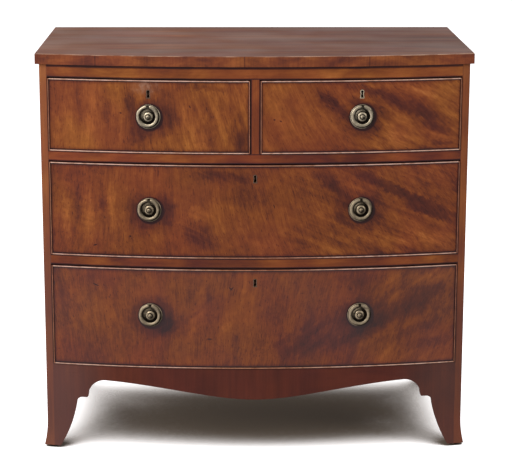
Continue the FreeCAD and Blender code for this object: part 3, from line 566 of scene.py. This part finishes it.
LONG_UPPER_MARKS = [
    (-398, 0, 95, 12, 90, 0.18), (-372, 0, 90, 8, 90, -0.14), (-350, -10, 90, 14, 92, 0.18),
    (-322, 10, 90, 8, 88, -0.14), (-300, 0, 90, 11, 88, 0.14), (-122, -52, 52, 34, 30, -0.24),
    (-182, 10, 34, 16, 90, -0.12), (-118, -6, 52, 24, 16, 0.12), (-75, 76, 100, 16, 4, -0.2),
    (308, 36, 152, 15, 24.7, -0.34), (166, 52, 66, 17, 41, -0.26), (362, -6, 80, 10, 21, -0.26),
    (176, -12, 34, 14, 64, -0.14), (92, -66, 52, 10, 16, -0.14), (326, -62, 128, 22, 3, 0.22),
    (372, 54, 60, 16, 24, 0.08), (-10, 30, 90, 30, 10, -0.07), (30, -70, 70, 14, 4, 0.06)]
LONG_LOWER_MARKS = [
    (-128, 4, 78, 22, -74, 0.15), (-186, -20, 38, 30, 30, -0.22), (-98, 50, 48, 18, 90, -0.13),
    (292, 66, 44, 30, 80, 0.11), (366, 34, 80, 21, -42, -0.2), (334, -34, 104, 18, -22, -0.14),
    (372, -62, 72, 15, -6, -0.14), (-388, 0, 95, 12, 90, 0.06), (-350, 0, 95, 10, 90, -0.06),
    (-312, -10, 95, 12, 90, 0.06), (-60, -20, 60, 20, -66, 0.07), (60, 10, 90, 40, 0, -0.05),
    (-20, 60, 50, 24, 80, 0.05), (150, -60, 120, 20, -14, -0.08), (139, -30, 110, 56, -30, -0.12),
    (283, 0, 168, 20, -31, -0.16), (217, 73, 60, 36, 0, -0.12), (361, 80, 70, 20, 0, 0.12),
    (80, -50, 130, 28, -8, -0.11)]

# How far the marks' edges wander, and half the length over which the flame sets in, in millimetres.
MARK_DRIFT = 20
FLAME_FADE = 80

# Dark nicks and scratches in the polish: place, half length, half width and turn, as above.
SHORT_LEFT_NICKS = [(-58, 7, 3, 2, 20), (86, 22, 4, 1.6, 60)]
SHORT_RIGHT_NICKS = [(-182, -5, 3, 2.4, 0), (-169, -8, 3.6, 2, 30)]
LONG_UPPER_NICKS = [(-338, -76, 5, 2, -20), (-263, -55, 3, 2.4, 0), (40, 12, 6, 1.4, 70)]
LONG_LOWER_NICKS = [(-338, 70, 9, 1.8, 24), (-52, 67, 6, 1.6, 45), (-49, 67, 6, 1.6, -45),
                    (-97, -44, 7, 1.8, 0)]


def flame_veneer(name, node, marks, nicks, tone, redness, lean, flame_turn, flame_from, seed, handles, worn_sheen,
                 flame_depth=0.8, sheen=0.12):
    """Figured veneer on a bowed front: leaning streaks, flame marks, and grime with painted shade by the bead
    and round the handles, with a painted shadow of each handle to its lower right.
    """
    s = Shader(name)
    low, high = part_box(node)
    middle = (low + high) / 2

    def spot(vector, place_x, place_z, half_long, half_wide, turn=0.0, fade=0.6):
        """A blob whose place off the front's middle and half sizes are in millimetres."""
        return s.blob(vector, middle.x + place_x * MM, middle.z + place_z * MM, half_long * MM,
                      half_wide * MM, turn, fade)

    x, _, z = s.parts(s.place)
    across = s.math("SUBTRACT", x, middle.x)
    up = s.math("SUBTRACT", z, middle.z)
    slope = s.total((across, lean[1]), (1.0, lean[0]))
    along = s.total((across, 1.0), (up, slope))
    ripple = s.noise(s.scaled(s.place, (9.0, 9.0, 9.0), (seed, 0.0, seed)), detail=3.0)
    over = s.total((along, 1.0), (ripple, 0.02), (1.0, seed))
    grain = s.vector(over, 0.0, s.total((up, 0.1), (ripple, 0.01)))
    broad = s.noise(s.scaled(grain, (38.0, 1.0, 60.0)), detail=2.0, roughness=0.5)
    strands = s.noise(s.scaled(grain, (130.0, 1.0, 110.0)), detail=5.0, roughness=0.72)
    fine = s.noise(s.scaled(grain, (520.0, 1.0, 420.0)), detail=3.0, roughness=0.7)
    pores = s.ramp(s.noise(s.scaled(grain, (1500.0, 1.0, 1500.0)), detail=1.0), 0.64, 0.74)
    clouds = s.noise(s.scaled(s.place, (7.0, 7.0, 9.0), (seed * 3.3, 0.0, 0.0)), detail=4.0, distortion=0.5)
    mottle = s.noise(s.scaled(s.place, (85.0, 1.0, 60.0), (seed, 0.0, seed)), detail=4.0, roughness=0.75)
    flecks = s.ramp(s.noise(s.scaled(grain, (330.0, 1.0, 900.0)), detail=2.0), 0.60, 0.70)
    terms = [(broad, 0.36), (strands, 0.44), (fine, 0.3), (pores, -0.1), (clouds, 0.4), (mottle, 0.42),
             (flecks, -0.2), (1.0, tone - 0.95)]

    rays = s.with_vector("ShaderNodeMapping", s.place, vector_type="TEXTURE")
    rays.inputs["Location"].default_value = (middle.x, 0.0, middle.z)
    rays.inputs["Rotation"].default_value = (0.0, math.radians(flame_turn), 0.0)
    flame = s.noise(s.scaled(rays.outputs[0], (9.0, 1.0, 75.0), (seed, 0.0, 0.0)), detail=5.0, roughness=0.65)
    frayed = s.ramp(flame, 0.34, 0.6, 0.5, 1.3)
    flamed = s.ramp(across, (flame_from - FLAME_FADE) * MM, (flame_from + FLAME_FADE) * MM)
    terms.append((s.math("MULTIPLY", flamed, s.math("SUBTRACT", flame, 0.5)), flame_depth))
    drifting = s.drifting(seed, MARK_DRIFT * MM)
    for place_x, place_z, half_long, half_wide, turn, strength in marks:
        mark = spot(drifting, place_x, place_z, 1.1 * half_long, 1.2 * half_wide, turn, fade=0.9)
        terms.append((s.math("MULTIPLY", mark, frayed), strength))
    for nick in nicks:
        terms.append((spot(s.place, *nick), -0.5))
    for handle in handles:
        # Round each handle: a broad darkening that is grime with painted shade, and a tight one offset to the
        # lower right that is a painted shadow of the plate and ring.
        grime_and_shade = s.blob(drifting, handle.x + 5 * MM, handle.z - 4 * MM, 70 * MM, 56 * MM)
        painted_handle_shadow = s.blob(s.place, handle.x + 2 * MM, handle.z - 2 * MM, 31 * MM, 31 * MM, fade=0.15)
        terms += [(grime_and_shade, -0.25), (painted_handle_shadow, -0.45)]

    # Grime with painted shade just inside the bead, stronger along the level beads than the upright ones.
    to_side = s.math("SUBTRACT", (high.x - low.x) / 2 - BEAD_THICKNESS, s.math("ABSOLUTE", across))
    to_level = s.math("SUBTRACT", (high.z - low.z) / 2 - BEAD_THICKNESS, s.math("ABSOLUTE", up))
    for to_bead, wide_grime_and_shade, close_grime_and_shade in ((to_side, -0.08, -0.18), (to_level, -0.2, -0.42)):
        terms.append((s.ramp(to_bead, 0.0, 9 * MM, 1.0, 0.0), wide_grime_and_shade))
        terms.append((dark_edge(s, to_bead, 3.2 * MM), close_grime_and_shade))

    colour = wood_colour(s, s.total(*terms), redness, seed)
    # A worn patch, partly a painted sheen.
    if worn_sheen:
        worn_and_highlit = spot(drifting, *worn_sheen, 40, 22, fade=0.9)
        share = s.math("MULTIPLY", worn_and_highlit, s.ramp(mottle, 0.4, 0.62, 0.1, 0.6))
        colour = s.mix(share, colour, FRONT_WORN_SHEEN)
    core = s.colours(s.total((strands, 0.8), (fine, 0.3), (1.0, -0.05)), PINE)
    behind = s.ramp(s.behind_bow(), VENEER_THICKNESS, VENEER_THICKNESS + 0.1 * MM)
    polish(s, s.mix(behind, colour, core), fine, pores, specular=sheen)
    return s.material


def table_top():
    """The top board: long horizontal figure above, cross-grained veneer on its edges, a grey painted sheen
    over both, painted darker to the right, and a pale arris that is partly wear and partly a painted
    highlight.
    """
    s = Shader("top_mahogany")
    grain = along_grain(s, "x", 4.0)
    coarse, fine, pores = grain_lines(s, grain)
    patches = s.noise(s.scaled(grain, (2.4, 11.0, 11.0)), detail=4.0, distortion=0.4)
    value = s.total((patches, 0.6), (coarse, 0.7), (fine, 0.24), (pores, -0.14), (1.0, -0.31))
    x, y, _ = s.parts(s.place)
    wavering = s.vector(x, 0.0, s.total((y, 1.0), (patches, 0.06)))
    streak = s.blob(wavering, -235 * MM, 130 * MM, 150 * MM, 34 * MM)
    # The haze is a painted sheen, stronger on the left.
    sheen_patches = s.noise(s.scaled(grain, (2.0, 16.0, 16.0), (5.0, 0.0, 0.0)), detail=4.0)
    haze = s.ramp(sheen_patches, 0.35, 0.65, 0.52, 0.24)
    haze = s.math("MULTIPLY", haze, s.ramp(streak, 0.0, 1.0, 1.0, 0.45))
    haze = s.math("MULTIPLY", haze, s.ramp(x, -0.4, 0.2, 1.15, 0.8))
    # The x term paints the top darker to the right, a painted shade.
    flat_tone = s.total((value, 1.0), (streak, 0.12), (x, -0.18), (1.0, -0.02))
    flat = s.mix(haze, wood_colour(s, flat_tone, 0.65, 4.0), TOP_PAINTED_SHEEN)
    upright = along_grain(s, "z", 9.0)
    bands = s.noise(s.scaled(s.place, (15.0, 15.0, 32.0)), detail=5.0, roughness=0.65, distortion=0.4)
    lines = s.noise(s.scaled(upright, (20.0, 240.0, 240.0)), detail=3.0, roughness=0.7)
    terms = [(bands, 1.3), (lines, 0.35), (1.0, -0.31)]
    for seam in EDGE_SEAMS:
        terms.append((dark_edge(s, s.math("ABSOLUTE", s.math("SUBTRACT", x, seam)), 1.6 * MM), -0.35))
    # The edge gets a share of grey painted sheen as well.
    edge = s.mix(0.12, wood_colour(s, s.total(*terms), 0.5, 9.0), TOP_EDGE_PAINTED_SHEEN)
    normal_z = s.parts(s.node("ShaderNodeNewGeometry").outputs["True Normal"])[2]
    colour = s.mix(s.ramp(normal_z, 0.3, 0.9), edge, flat)
    # A pale arris, partly wear and partly a painted highlight on the faces that turn up to the light, more to
    # the right.
    arris = s.math("MULTIPLY", s.ramp(normal_z, 0.15, 0.35), s.ramp(normal_z, 0.8, 0.98, 1.0, 0.0))
    chips = s.noise(s.scaled(s.place, (26.0, 8.0, 8.0)), detail=4.0)
    worn_and_highlit = s.total((s.ramp(chips, 0.38, 0.6, 0.1, 0.85), 1.0), (s.ramp(x, -0.05, 0.15), 0.3))
    colour = s.mix(s.math("MULTIPLY", arris, worn_and_highlit), colour, ARRIS_WORN_AND_HIGHLIT)
    polish(s, colour, fine, pores, roughness=0.56, specular=0.05, rounding=0.8 * MM)
    return s.material


def cockbead_wood(name, node, middle_highlight):
    """Cockbeads: their crowns painted pale, a painted highlight with some wear, the level ones most, and
    their sides painted darker, shade with some grime. The middle of the level ones gets a share of their
    ends' highlight."""
    s = Shader(name)
    low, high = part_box(node)
    lines = s.noise(s.scaled(s.place, (60.0, 60.0, 60.0)), detail=4.0, roughness=0.7)
    x = s.parts(s.place)[0]
    to_end = s.math("MINIMUM", s.math("SUBTRACT", x, low.x), s.math("SUBTRACT", high.x, x))
    level = s.ramp(to_end, BEAD_THICKNESS, 1.2 * BEAD_THICKNESS)
    crown_floor = s.ramp(level, 0.0, 1.0, -0.84 * BEAD_PROUD, -0.68 * BEAD_PROUD)
    proud = s.ramp(s.behind_bow(), -BEAD_PROUD, crown_floor, 1.0, 0.0)
    # The crown is painted lighter and the sides darker: painted highlight and shade, with some wear and
    # grime.
    value = s.total((lines, 0.5), (s.math("MULTIPLY", proud, level), 0.1), (proud, 0.62), (1.0, -0.16))
    share = s.math("MULTIPLY", s.ramp(level, 0.0, 1.0, 0.26, 1.0), s.ramp(lines, 0.35, 0.6, 0.45, 1.0))
    half = (high.x - low.x) / 2
    worn_and_highlit = s.math("MULTIPLY", share, s.ramp(to_end, 0.5 * half, 0.9 * half, 1.0, middle_highlight))
    colour = s.mix(s.math("MULTIPLY", proud, worn_and_highlit), wood_colour(s, value, 0.3, 6.0), BEAD_PAINTED_HIGHLIGHT)
    s.set(base_color=colour, roughness=0.36, specular_ior_level=0.1,
          normal=s.bumped(lines, 0.1 * MM, 1.2 * MM))
    return s.material


# ---- Metal, felt --------------------------------------------------------------------------------

def aged_metal(name, worn_and_highlit, dull, roughness, lock_grime=None):
    """Old metal, rubbed and dull by turns. Where it is dull comes from the mesh, as grime and painted shade.
    A lock has one share of grime outside, and is painted black in its hollows, which show through the
    keyhole: a painted shade."""
    s = Shader(name)
    if lock_grime is None:
        grime_and_shade = s.node("ShaderNodeAttribute", attribute_name="grime_and_shade").outputs["Fac"]
    else:
        # Painted shade: the lock goes black where it is hollow, by how little open space is round it.
        openness = s.node("ShaderNodeAmbientOcclusion", samples=8)
        openness.inputs["Distance"].default_value = LOCK_HOLLOW
        grime_and_shade = s.ramp(openness.outputs["AO"], 0.1, 0.45, 3.0, lock_grime)
    cloud = s.noise(s.place, 260.0, 4.0, 0.65)
    specks = s.ramp(s.noise(s.place, 1400.0, 2.0), 0.56, 0.7)
    patina = s.ramp(s.total((grime_and_shade, 1.0), (cloud, 0.55), (specks, 0.12), (1.0, -0.28)), 0.1, 0.9)
    colour = s.mix(patina, worn_and_highlit, dull)
    height = s.total((cloud, 0.5), (specks, -0.4))
    s.set(base_color=colour, metallic=1.0, roughness=s.ramp(patina, 0.0, 1.0, roughness, roughness + 0.3),
          normal=s.bumped(height, 0.1 * MM))
    return s.material


def felt_pad():
    """Dark felt, scuffed pale by the floor."""
    s = Shader("pad_felt")
    fibres = s.noise(s.place, 900.0, 4.0, 0.8)
    scuffs = s.ramp(s.noise(s.place, 140.0, 3.0), 0.56, 0.66)
    colour = s.mix(scuffs, s.mix(fibres, srgb(26, 22, 20), srgb(58, 50, 44)), srgb(150, 136, 118))
    s.set(base_color=colour, roughness=0.95, specular_ior_level=0.1, normal=s.bumped(fibres, 0.5 * MM))
    return s.material


# ---- Mesh helpers -------------------------------------------------------------------------------
# A piece on a drawer's face is made about the face's point at the origin, with its front towards -Y,
# and then swung to its place on the bow.

def on_face(place, turn):
    """Placement at a point of the face, where the bow has turned by an angle about Z."""
    return Matrix.Translation(place) @ Matrix.Rotation(turn, 4, "Z")


def add_rings(mesh, rings, closed_loop=False):
    """Skins rings of vertices that have the same number of points. A ring of one point closes an end."""
    pairs = list(zip(rings, rings[1:]))
    if closed_loop:
        pairs.append((rings[-1], rings[0]))
    for first, second in pairs:
        count = max(len(first), len(second))
        for i in range(count):
            j = (i + 1) % count
            if len(first) == 1:
                corners = (first[0], second[j], second[i])
            elif len(second) == 1:
                corners = (first[i], first[j], second[0])
            else:
                corners = (first[i], first[j], second[j], second[i])
            mesh.faces.new(corners)


def add_capped(mesh, rings):
    """Skins rings of vertices and closes both ends."""
    add_rings(mesh, rings)
    mesh.faces.new(reversed(rings[0]))
    mesh.faces.new(rings[-1])


def metal_mesh():
    """An empty mesh whose vertices hold how dull the metal is there, from 0, rubbed, to 1."""
    mesh = bmesh.new()
    mesh.verts.layers.float.new("grime_and_shade")
    return mesh


def add_point(mesh, placement, x, height, z, grime_and_shade):
    """A vertex at x and z on the face, standing a height off it."""
    vertex = mesh.verts.new(placement @ Vector((x, -height, z)))
    vertex[mesh.verts.layers.float["grime_and_shade"]] = grime_and_shade
    return vertex


def add_turned(mesh, profile, segments, placement, lower_right_shade=0.0, fluted=False):
    """Turns (radius, height off the face, grime) about the face's normal. Its shade share paints the lower
    right duller, a painted shade away from the light."""
    rings = []
    for radius, height, grime_and_shade in profile:
        if radius == 0.0:
            rings.append([add_point(mesh, placement, 0.0, height, 0.0, grime_and_shade)])
            continue
        ring = []
        for i in range(segments):
            angle = 2 * math.pi * i / segments
            ridge = 0.0
            if fluted and FLUTE_INNER < radius < FLUTE_OUTER:
                ridge = 0.5 - 0.5 * math.cos(FLUTES * angle)
            # Painted shade towards the lower right, less grime on the flutes' ridges.
            dulled = lower_right_shade * math.cos(angle + math.pi / 4) - FLUTE_RUBBED * ridge
            ring.append(add_point(mesh, placement, radius * math.cos(angle), height + FLUTE_RISE * ridge,
                                  radius * math.sin(angle), grime_and_shade + dulled))
        rings.append(ring)
    add_rings(mesh, rings)


def add_prism_x(mesh, outline, x0, x1, placement, grime_and_shade):
    """A bar along X whose section is an outline of (height off the face, z)."""
    ends = [[add_point(mesh, placement, x, height, z, grime_and_shade) for height, z in outline] for x in (x0, x1)]
    add_capped(mesh, ends)


def arc(centre, radius, start, end, count):
    """Points on an arc, from start to end in degrees."""
    angles = [math.radians(start + (end - start) * i / (count - 1)) for i in range(count)]
    return [(centre[0] + radius * math.cos(a), centre[1] + radius * math.sin(a)) for a in angles]


def make_piece(name, mesh, material, body, replaced, smooth=0.9):
    """Turns a bmesh into the piece that stands in for a node. Edges that turn by less than smooth, in
    radians, are soft."""
    bmesh.ops.recalc_face_normals(mesh, faces=mesh.faces)
    for face in mesh.faces:
        face.smooth = True
    for edge in mesh.edges:
        edge.smooth = len(edge.link_faces) == 2 and edge.calc_face_angle() < smooth
    data = bpy.data.meshes.new(name)
    mesh.to_mesh(data)
    mesh.free()
    data.materials.append(material)
    piece = scene_object(name, data)
    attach(piece, body)
    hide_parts(replaced)


# ---- Handles ------------------------------------------------------------------------------------

# (radius, height off the face, grime) from the middle of the back round the rim to the middle, in mm.
PLATE_PROFILE = [(0.0, 0.0, 0.6), (24.6, 0.0, 0.8), (25.3, 0.25, 0.8), (25.5, 0.8, 0.5), (25.4, 1.4, 0.2),
                 (25.0, 1.95, 0.05), (24.5, 2.2, 0.0), (24.0, 2.0, 0.2), (23.6, 1.5, 0.7), (23.2, 1.2, 1.0),
                 (22.6, 1.35, 0.9), (21.0, 1.4, 0.7), (16.6, 1.4, 1.0), (16.0, 1.7, 0.9), (15.5, 1.75, 0.9),
                 (15.1, 1.4, 1.1), (14.8, 1.1, 1.2), (13.2, 1.1, 1.1), (11.6, 1.1, 1.1), (11.2, 1.3, 1.1),
                 (10.7, 1.4, 1.0), (0.0, 1.4, 1.0)]
BOSS_PROFILE = [(0.0, 1.3, 1.0), (10.6, 1.3, 1.0), (10.6, 3.3, 0.9), (10.45, 4.2, 0.6), (10.0, 5.0, 0.4),
                (9.3, 5.6, 0.3), (8.4, 6.1, 0.35), (7.4, 6.5, 0.4), (6.7, 6.7, 0.35), (6.2, 6.7, 0.45),
                (5.8, 6.4, 0.8), (5.4, 6.3, 1.0), (5.0, 6.6, 0.9), (4.8, 7.4, 0.7), (4.5, 8.4, 0.6),
                (3.9, 9.2, 0.5), (3.0, 9.8, 0.45), (1.8, 10.1, 0.5), (0.0, 10.2, 0.6)]


def in_metres(profile):
    return [(radius * MM, height * MM, grime_and_shade) for radius, height, grime_and_shade in profile]


def threaded_bolt_profile():
    """The bolt from under the boss to its end, threaded where it stands behind the front."""
    profile = [(0.0, BOLT_TOP, BOLT_GRIME), (BOLT_RADIUS, BOLT_TOP, BOLT_GRIME),
               (BOLT_RADIUS, -NUT_PLACE + THREAD_PITCH, BOLT_GRIME)]
    for i in range(int((BOLT_REACH - NUT_PLACE) / THREAD_PITCH)):
        height = -NUT_PLACE - i * THREAD_PITCH
        profile.append((BOLT_RADIUS, height, BOLT_GRIME))
        profile.append((BOLT_RADIUS - THREAD_DEPTH, height - THREAD_PITCH / 2, 1.0))
    profile.append((BOLT_RADIUS * BOLT_TIP, -BOLT_REACH, BOLT_GRIME))
    profile.append((0.0, -BOLT_REACH, BOLT_GRIME))
    return profile


def add_handle_mount(mesh, placement):
    """Backplate with its fluted well, stepped boss and bolt, lug, hinge pin, and the nut behind."""
    add_turned(mesh, in_metres(PLATE_PROFILE), HANDLE_SEGMENTS, placement, lower_right_shade=0.5, fluted=True)
    add_turned(mesh, in_metres(BOSS_PROFILE), HANDLE_SEGMENTS // 2, placement, lower_right_shade=0.3)
    add_turned(mesh, threaded_bolt_profile(), BOLT_SEGMENTS, placement)
    pivot_z = RING_LIFT + RING_RADIUS
    crown = arc((PIVOT_HEIGHT, pivot_z), LUG_RADIUS, -90, 90, LUG_POINTS)
    foot = [(PLATE_DISH, pivot_z + LUG_RADIUS), (PLATE_DISH, pivot_z - LUG_RADIUS)]
    add_prism_x(mesh, crown + foot, -LUG_HALF_WIDTH, LUG_HALF_WIDTH, placement, 0.8)
    pin = arc((PIVOT_HEIGHT, pivot_z), PIVOT_RADIUS, 0, 360 - 360 / PIN_POINTS, PIN_POINTS)
    add_prism_x(mesh, pin, -PIVOT_REACH, PIVOT_REACH, placement, 0.9)
    add_nut(mesh, placement)


def add_nut(mesh, placement):
    """Square hand-filed nut with its outer corners eased."""
    half = NUT_WIDTH / 2
    back = -NUT_PLACE - NUT_THICKNESS
    sections = [(half - NUT_EASED, -NUT_PLACE, 1.0), (half, -NUT_PLACE - NUT_FRONT_BEVEL, 0.7),
                (half, back + NUT_BACK_BEVEL, 0.5), (half - NUT_EASED, back, 0.4)]
    rings = []
    for reach, height, grime_and_shade in sections:
        points = square(reach, NUT_EASED)
        rings.append([add_point(mesh, placement, x, height, z, grime_and_shade) for x, z in points])
    add_capped(mesh, rings)


def square(half, corner):
    """A square's outline with its corners cut, as (x, z)."""
    cut = half - corner
    return [(half, -cut), (half, cut), (cut, half), (-cut, half), (-half, cut), (-half, -cut), (-cut, -half),
            (cut, -half)]


def add_ring(mesh, placement):
    """The hanging ring: a domed section swept round from one side of the lug to the other. Its slopes that
    turn to the lower right are painted duller and those that turn to the upper left brighter: painted shade
    and highlight."""
    half_width = RING_WIDTH / 2
    half_thick = RING_THICKNESS / 2
    section = []
    for i in range(RING_SECTION_POINTS):
        angle = 2 * math.pi * i / RING_SECTION_POINTS
        dome = math.copysign(abs(math.sin(angle)) ** RING_DOME, math.sin(angle))
        grime_and_shade = RING_GRIME - RING_CROWN_RUBBED * dome
        section.append((half_width * math.cos(angle), half_thick * dome, grime_and_shade))
    gap_angle = math.asin(RING_HALF_GAP / (RING_RADIUS - half_width))
    rings = []
    for i in range(RING_STEPS + 1):
        share = i / RING_STEPS
        angle = math.pi / 2 + gap_angle + share * (2 * math.pi - 2 * gap_angle)
        from_end = min(share, 1 - share) * 2 * math.pi * RING_RADIUS
        size = RING_END_SIZE + (1 - RING_END_SIZE) * min(1.0, from_end / RING_TAPER) ** 0.5
        lower_right = math.cos(angle + math.pi / 4)
        ring = []
        for across, off, grime_and_shade in section:
            radius = RING_RADIUS + across * size
            # Painted shade and highlight by which way the slope turns.
            lower_right_shade = RING_LOWER_RIGHT_SHADE * lower_right * across / half_width
            ring.append(add_point(mesh, placement, radius * math.cos(angle), PIVOT_HEIGHT + off * size,
                                  RING_LIFT + radius * math.sin(angle), grime_and_shade + lower_right_shade))
        rings.append(ring)
    add_capped(mesh, rings)


def keyhole_outline(outset):
    """Keyhole outline grown by outset, about its round part's centre, as (x, z)."""
    radius = KEYHOLE_RADIUS + outset
    neck = KEYHOLE_NECK + outset
    start = -math.degrees(math.acos(neck / radius))
    foot = -(KEYHOLE_HEIGHT - KEYHOLE_RADIUS) - outset
    flare = KEYHOLE_FOOT + outset
    return arc((0.0, 0.0), radius, start, 180 - start, KEYHOLE_POINTS) + [(-flare, foot), (flare, foot)]


def add_escutcheon(mesh, placement):
    """Thread escutcheon: a thin keyhole-shaped brass wall let into the front, its lip rounded over. The lip
    is (share of the wall's thickness, height off the face, grime) from the keyhole outwards."""
    lip = [(0.0, -ESCUTCHEON_DEPTH, 1.0), (0.0, 0.0, 0.8), (0.12, 0.6 * ESCUTCHEON_PROUD, 0.4),
           (0.35, ESCUTCHEON_PROUD, 0.1), (0.7, 0.9 * ESCUTCHEON_PROUD, 0.1),
           (0.95, 0.4 * ESCUTCHEON_PROUD, 0.6), (1.0, 0.0, 1.0), (1.0, -ESCUTCHEON_DEPTH, 1.0)]
    rings = []
    for share, height, grime_and_shade in lip:
        points = keyhole_outline(share * ESCUTCHEON_RIM)
        rings.append([add_point(mesh, placement, x, height, z, grime_and_shade) for x, z in points])
    add_rings(mesh, rings, closed_loop=True)


def hinges_of(body):
    """The ring hinges of a drawer's body."""
    return [j for j in frame["joints"] if j["parent"] == body and j["type"] == "hinge"]


def handle_placement(hinge):
    """Placement of a handle whose origin is the plate's centre on the drawer's face."""
    axis = Vector(hinge["axis"])
    turn = math.atan2(-axis.y, -axis.x)
    outward = Vector((math.sin(turn), -math.cos(turn), 0.0))
    centre = Vector(hinge["pos_m"]) - outward * PIVOT_HEIGHT
    centre.z -= RING_LIFT + RING_RADIUS
    return on_face(centre, turn)


def face_placement(x, z):
    """Placement on the bowed face at x and z."""
    turn = math.asin(x / BOW_RADIUS)
    place = Vector((x, BOW_CENTRE_Y - BOW_RADIUS * math.cos(turn), z))
    return on_face(place, turn)


def make_handles(drawer, body, brass):
    """A drawer's handle mounts as one piece, and each of its rings."""
    mounts = metal_mesh()
    for hinge in hinges_of(body):
        placement = handle_placement(hinge)
        add_handle_mount(mounts, placement)
        ring = metal_mesh()
        add_ring(ring, placement)
        node = frame["record"]["behaviour"]["bodies"][hinge["child"]][0]
        make_piece(node + "_cast", ring, brass, hinge["child"], node)
    plates = drawer + "_handle_plates"
    make_piece(drawer + "_handle_mounts", mounts, brass, body, plates, smooth=0.75)


def make_escutcheon(drawer, body, brass):
    """A drawer's keyhole rim, in its node's place across the front."""
    low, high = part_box(drawer + "_escutcheon")
    front_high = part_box(drawer + "_front")[1]
    mesh = metal_mesh()
    add_escutcheon(mesh, face_placement((low.x + high.x) / 2, front_high.z - KEYHOLE_DROP))
    make_piece(drawer + "_escutcheon_rim", mesh, brass, body, drawer + "_escutcheon")


# ---- Dressing -----------------------------------------------------------------------------------

# Each drawer's body and veneer: marks, nicks, tone, redness, lean of the streaks at the middle and its change
# per metre, degrees that the flame's strands drop to the right and where they set in (millimetres from the
# middle), seed, the place of a worn patch that is partly a painted sheen, how strong the flame is and how
# shiny the polish.
DRAWERS = {
    "short_drawer_left": ("drawer_short_left", {
        "marks": SHORT_LEFT_MARKS, "nicks": SHORT_LEFT_NICKS, "tone": 0.57, "redness": 0.3,
        "lean": (0.10, 0.6), "flame_turn": 70, "flame_from": 30, "seed": 1.3, "worn_sheen": (-4, 62)}),
    "short_drawer_right": ("drawer_short_right", {
        "marks": SHORT_RIGHT_MARKS, "nicks": SHORT_RIGHT_NICKS, "tone": 0.58, "redness": 0.4,
        "lean": (0.75, 1.6), "flame_turn": 24, "flame_from": -40, "seed": 2.6, "worn_sheen": None}),
    "long_drawer_upper": ("drawer_long_upper", {
        "marks": LONG_UPPER_MARKS, "nicks": LONG_UPPER_NICKS, "tone": 0.5, "redness": 0.4,
        "lean": (0.3, 1.1), "flame_turn": 25, "flame_from": 80, "seed": 3.9, "worn_sheen": None}),
    "long_drawer_lower": ("drawer_long_lower", {
        "marks": LONG_LOWER_MARKS, "nicks": LONG_LOWER_NICKS, "tone": 0.42, "redness": 0.45,
        "lean": (-0.1, -0.7), "flame_turn": -38, "flame_from": 200, "seed": 5.2, "worn_sheen": None,
        "flame_depth": 0.4, "sheen": 0.2}),
}


def dress(node, material):
    """Gives a CAD node one material."""
    slots = frame["nodes"][node].material_slots
    if not slots:
        frame["nodes"][node].data.materials.append(material)
    for slot in slots:
        slot.material = material


def dress_case():
    """Materials of everything that stays with the carcase."""
    dress("top_board", table_top())
    case = case_wood()
    for node in ("side_panel_left", "side_panel_right", "apron", "front_foot_left", "front_foot_right",
                 "rear_foot_left", "rear_foot_right"):
        dress(node, case)
    top_rail = faced_rail("top_rail_mahogany", "top_rails", "x", 3.0, 0.58, 0.25, 0.3, overhang_shadow_depth=7.0 * MM)
    dress("top_rails", top_rail)
    dress("upper_divider", faced_rail("upper_divider_mahogany", "upper_divider", "x", 4.0, 0.46, 0.6, -0.15))
    dress("lower_divider", faced_rail("lower_divider_mahogany", "lower_divider", "x", 5.0, 0.43, 0.5))
    dress("centre_muntin", faced_rail("muntin_mahogany", "centre_muntin", "z", 6.0, 0.57, 0.5))
    pine = raw_wood("pine_across", "x", 7.0, PINE)
    for node in ("bottom_board", "dustboards"):
        dress(node, pine)
    dress("runners_and_stops", raw_wood("pine_runners", "y", 8.0, PINE))
    dress("back_boards", raw_wood("pine_back", "z", 9.0, PINE, tone=0.42))
    dress("foot_blocks", raw_wood("pine_blocks", "z", 10.0, PINE, tone=0.4))
    dress("foot_pads", felt_pad())


def dress_drawers():
    """Materials of the drawers, and the handles and keyhole rims that stand in for plainer nodes."""
    short_brass = aged_metal("brass", srgb(148, 136, 116), srgb(22, 18, 14), 0.26)
    long_brass = aged_metal("brass_less_rubbed", srgb(130, 116, 96), srgb(24, 19, 14), 0.3)
    dark_brass = aged_metal("brass_gone_brown", srgb(92, 72, 60), srgb(14, 12, 9), 0.5)
    lock_brass = aged_metal("lock_brass", srgb(146, 122, 72), srgb(20, 16, 11), 0.42, 0.3)
    steel = aged_metal("lock_steel", srgb(124, 120, 114), srgb(18, 16, 14), 0.38, 0.3)
    oak_sides = raw_wood("oak_sides", "y", 21.0, OAK)
    oak_across = raw_wood("oak_across", "x", 22.0, OAK)
    for drawer, (body, figure) in DRAWERS.items():
        handles = [handle_placement(hinge).translation for hinge in hinges_of(body)]
        front = drawer + "_front"
        dress(front, flame_veneer(drawer + "_veneer", front, handles=handles, **figure))
        short = drawer.startswith("short")
        bead = cockbead_wood(drawer + "_bead", drawer + "_cockbead", middle_highlight=1.0 if short else 0.3)
        dress(drawer + "_cockbead", bead)
        dress(drawer + "_sides", oak_sides)
        dress(drawer + "_back", oak_across)
        dress(drawer + "_bottom", oak_across)
        dress(drawer + "_lock", lock_brass)
        dress(drawer + "_lock_bolt", steel)
        make_handles(drawer, body, short_brass if short else long_brass)
        make_escutcheon(drawer, body, short_brass if drawer == "short_drawer_right" else dark_brass)


def main():
    bpy.context.scene.view_settings.view_transform = "Standard"
    make_camera()
    make_world()
    make_floor()
    for name, (place, target, size, power) in SOFTBOXES.items():
        make_softbox(name, place, target, size, power)
    dress_case()
    dress_drawers()


main()
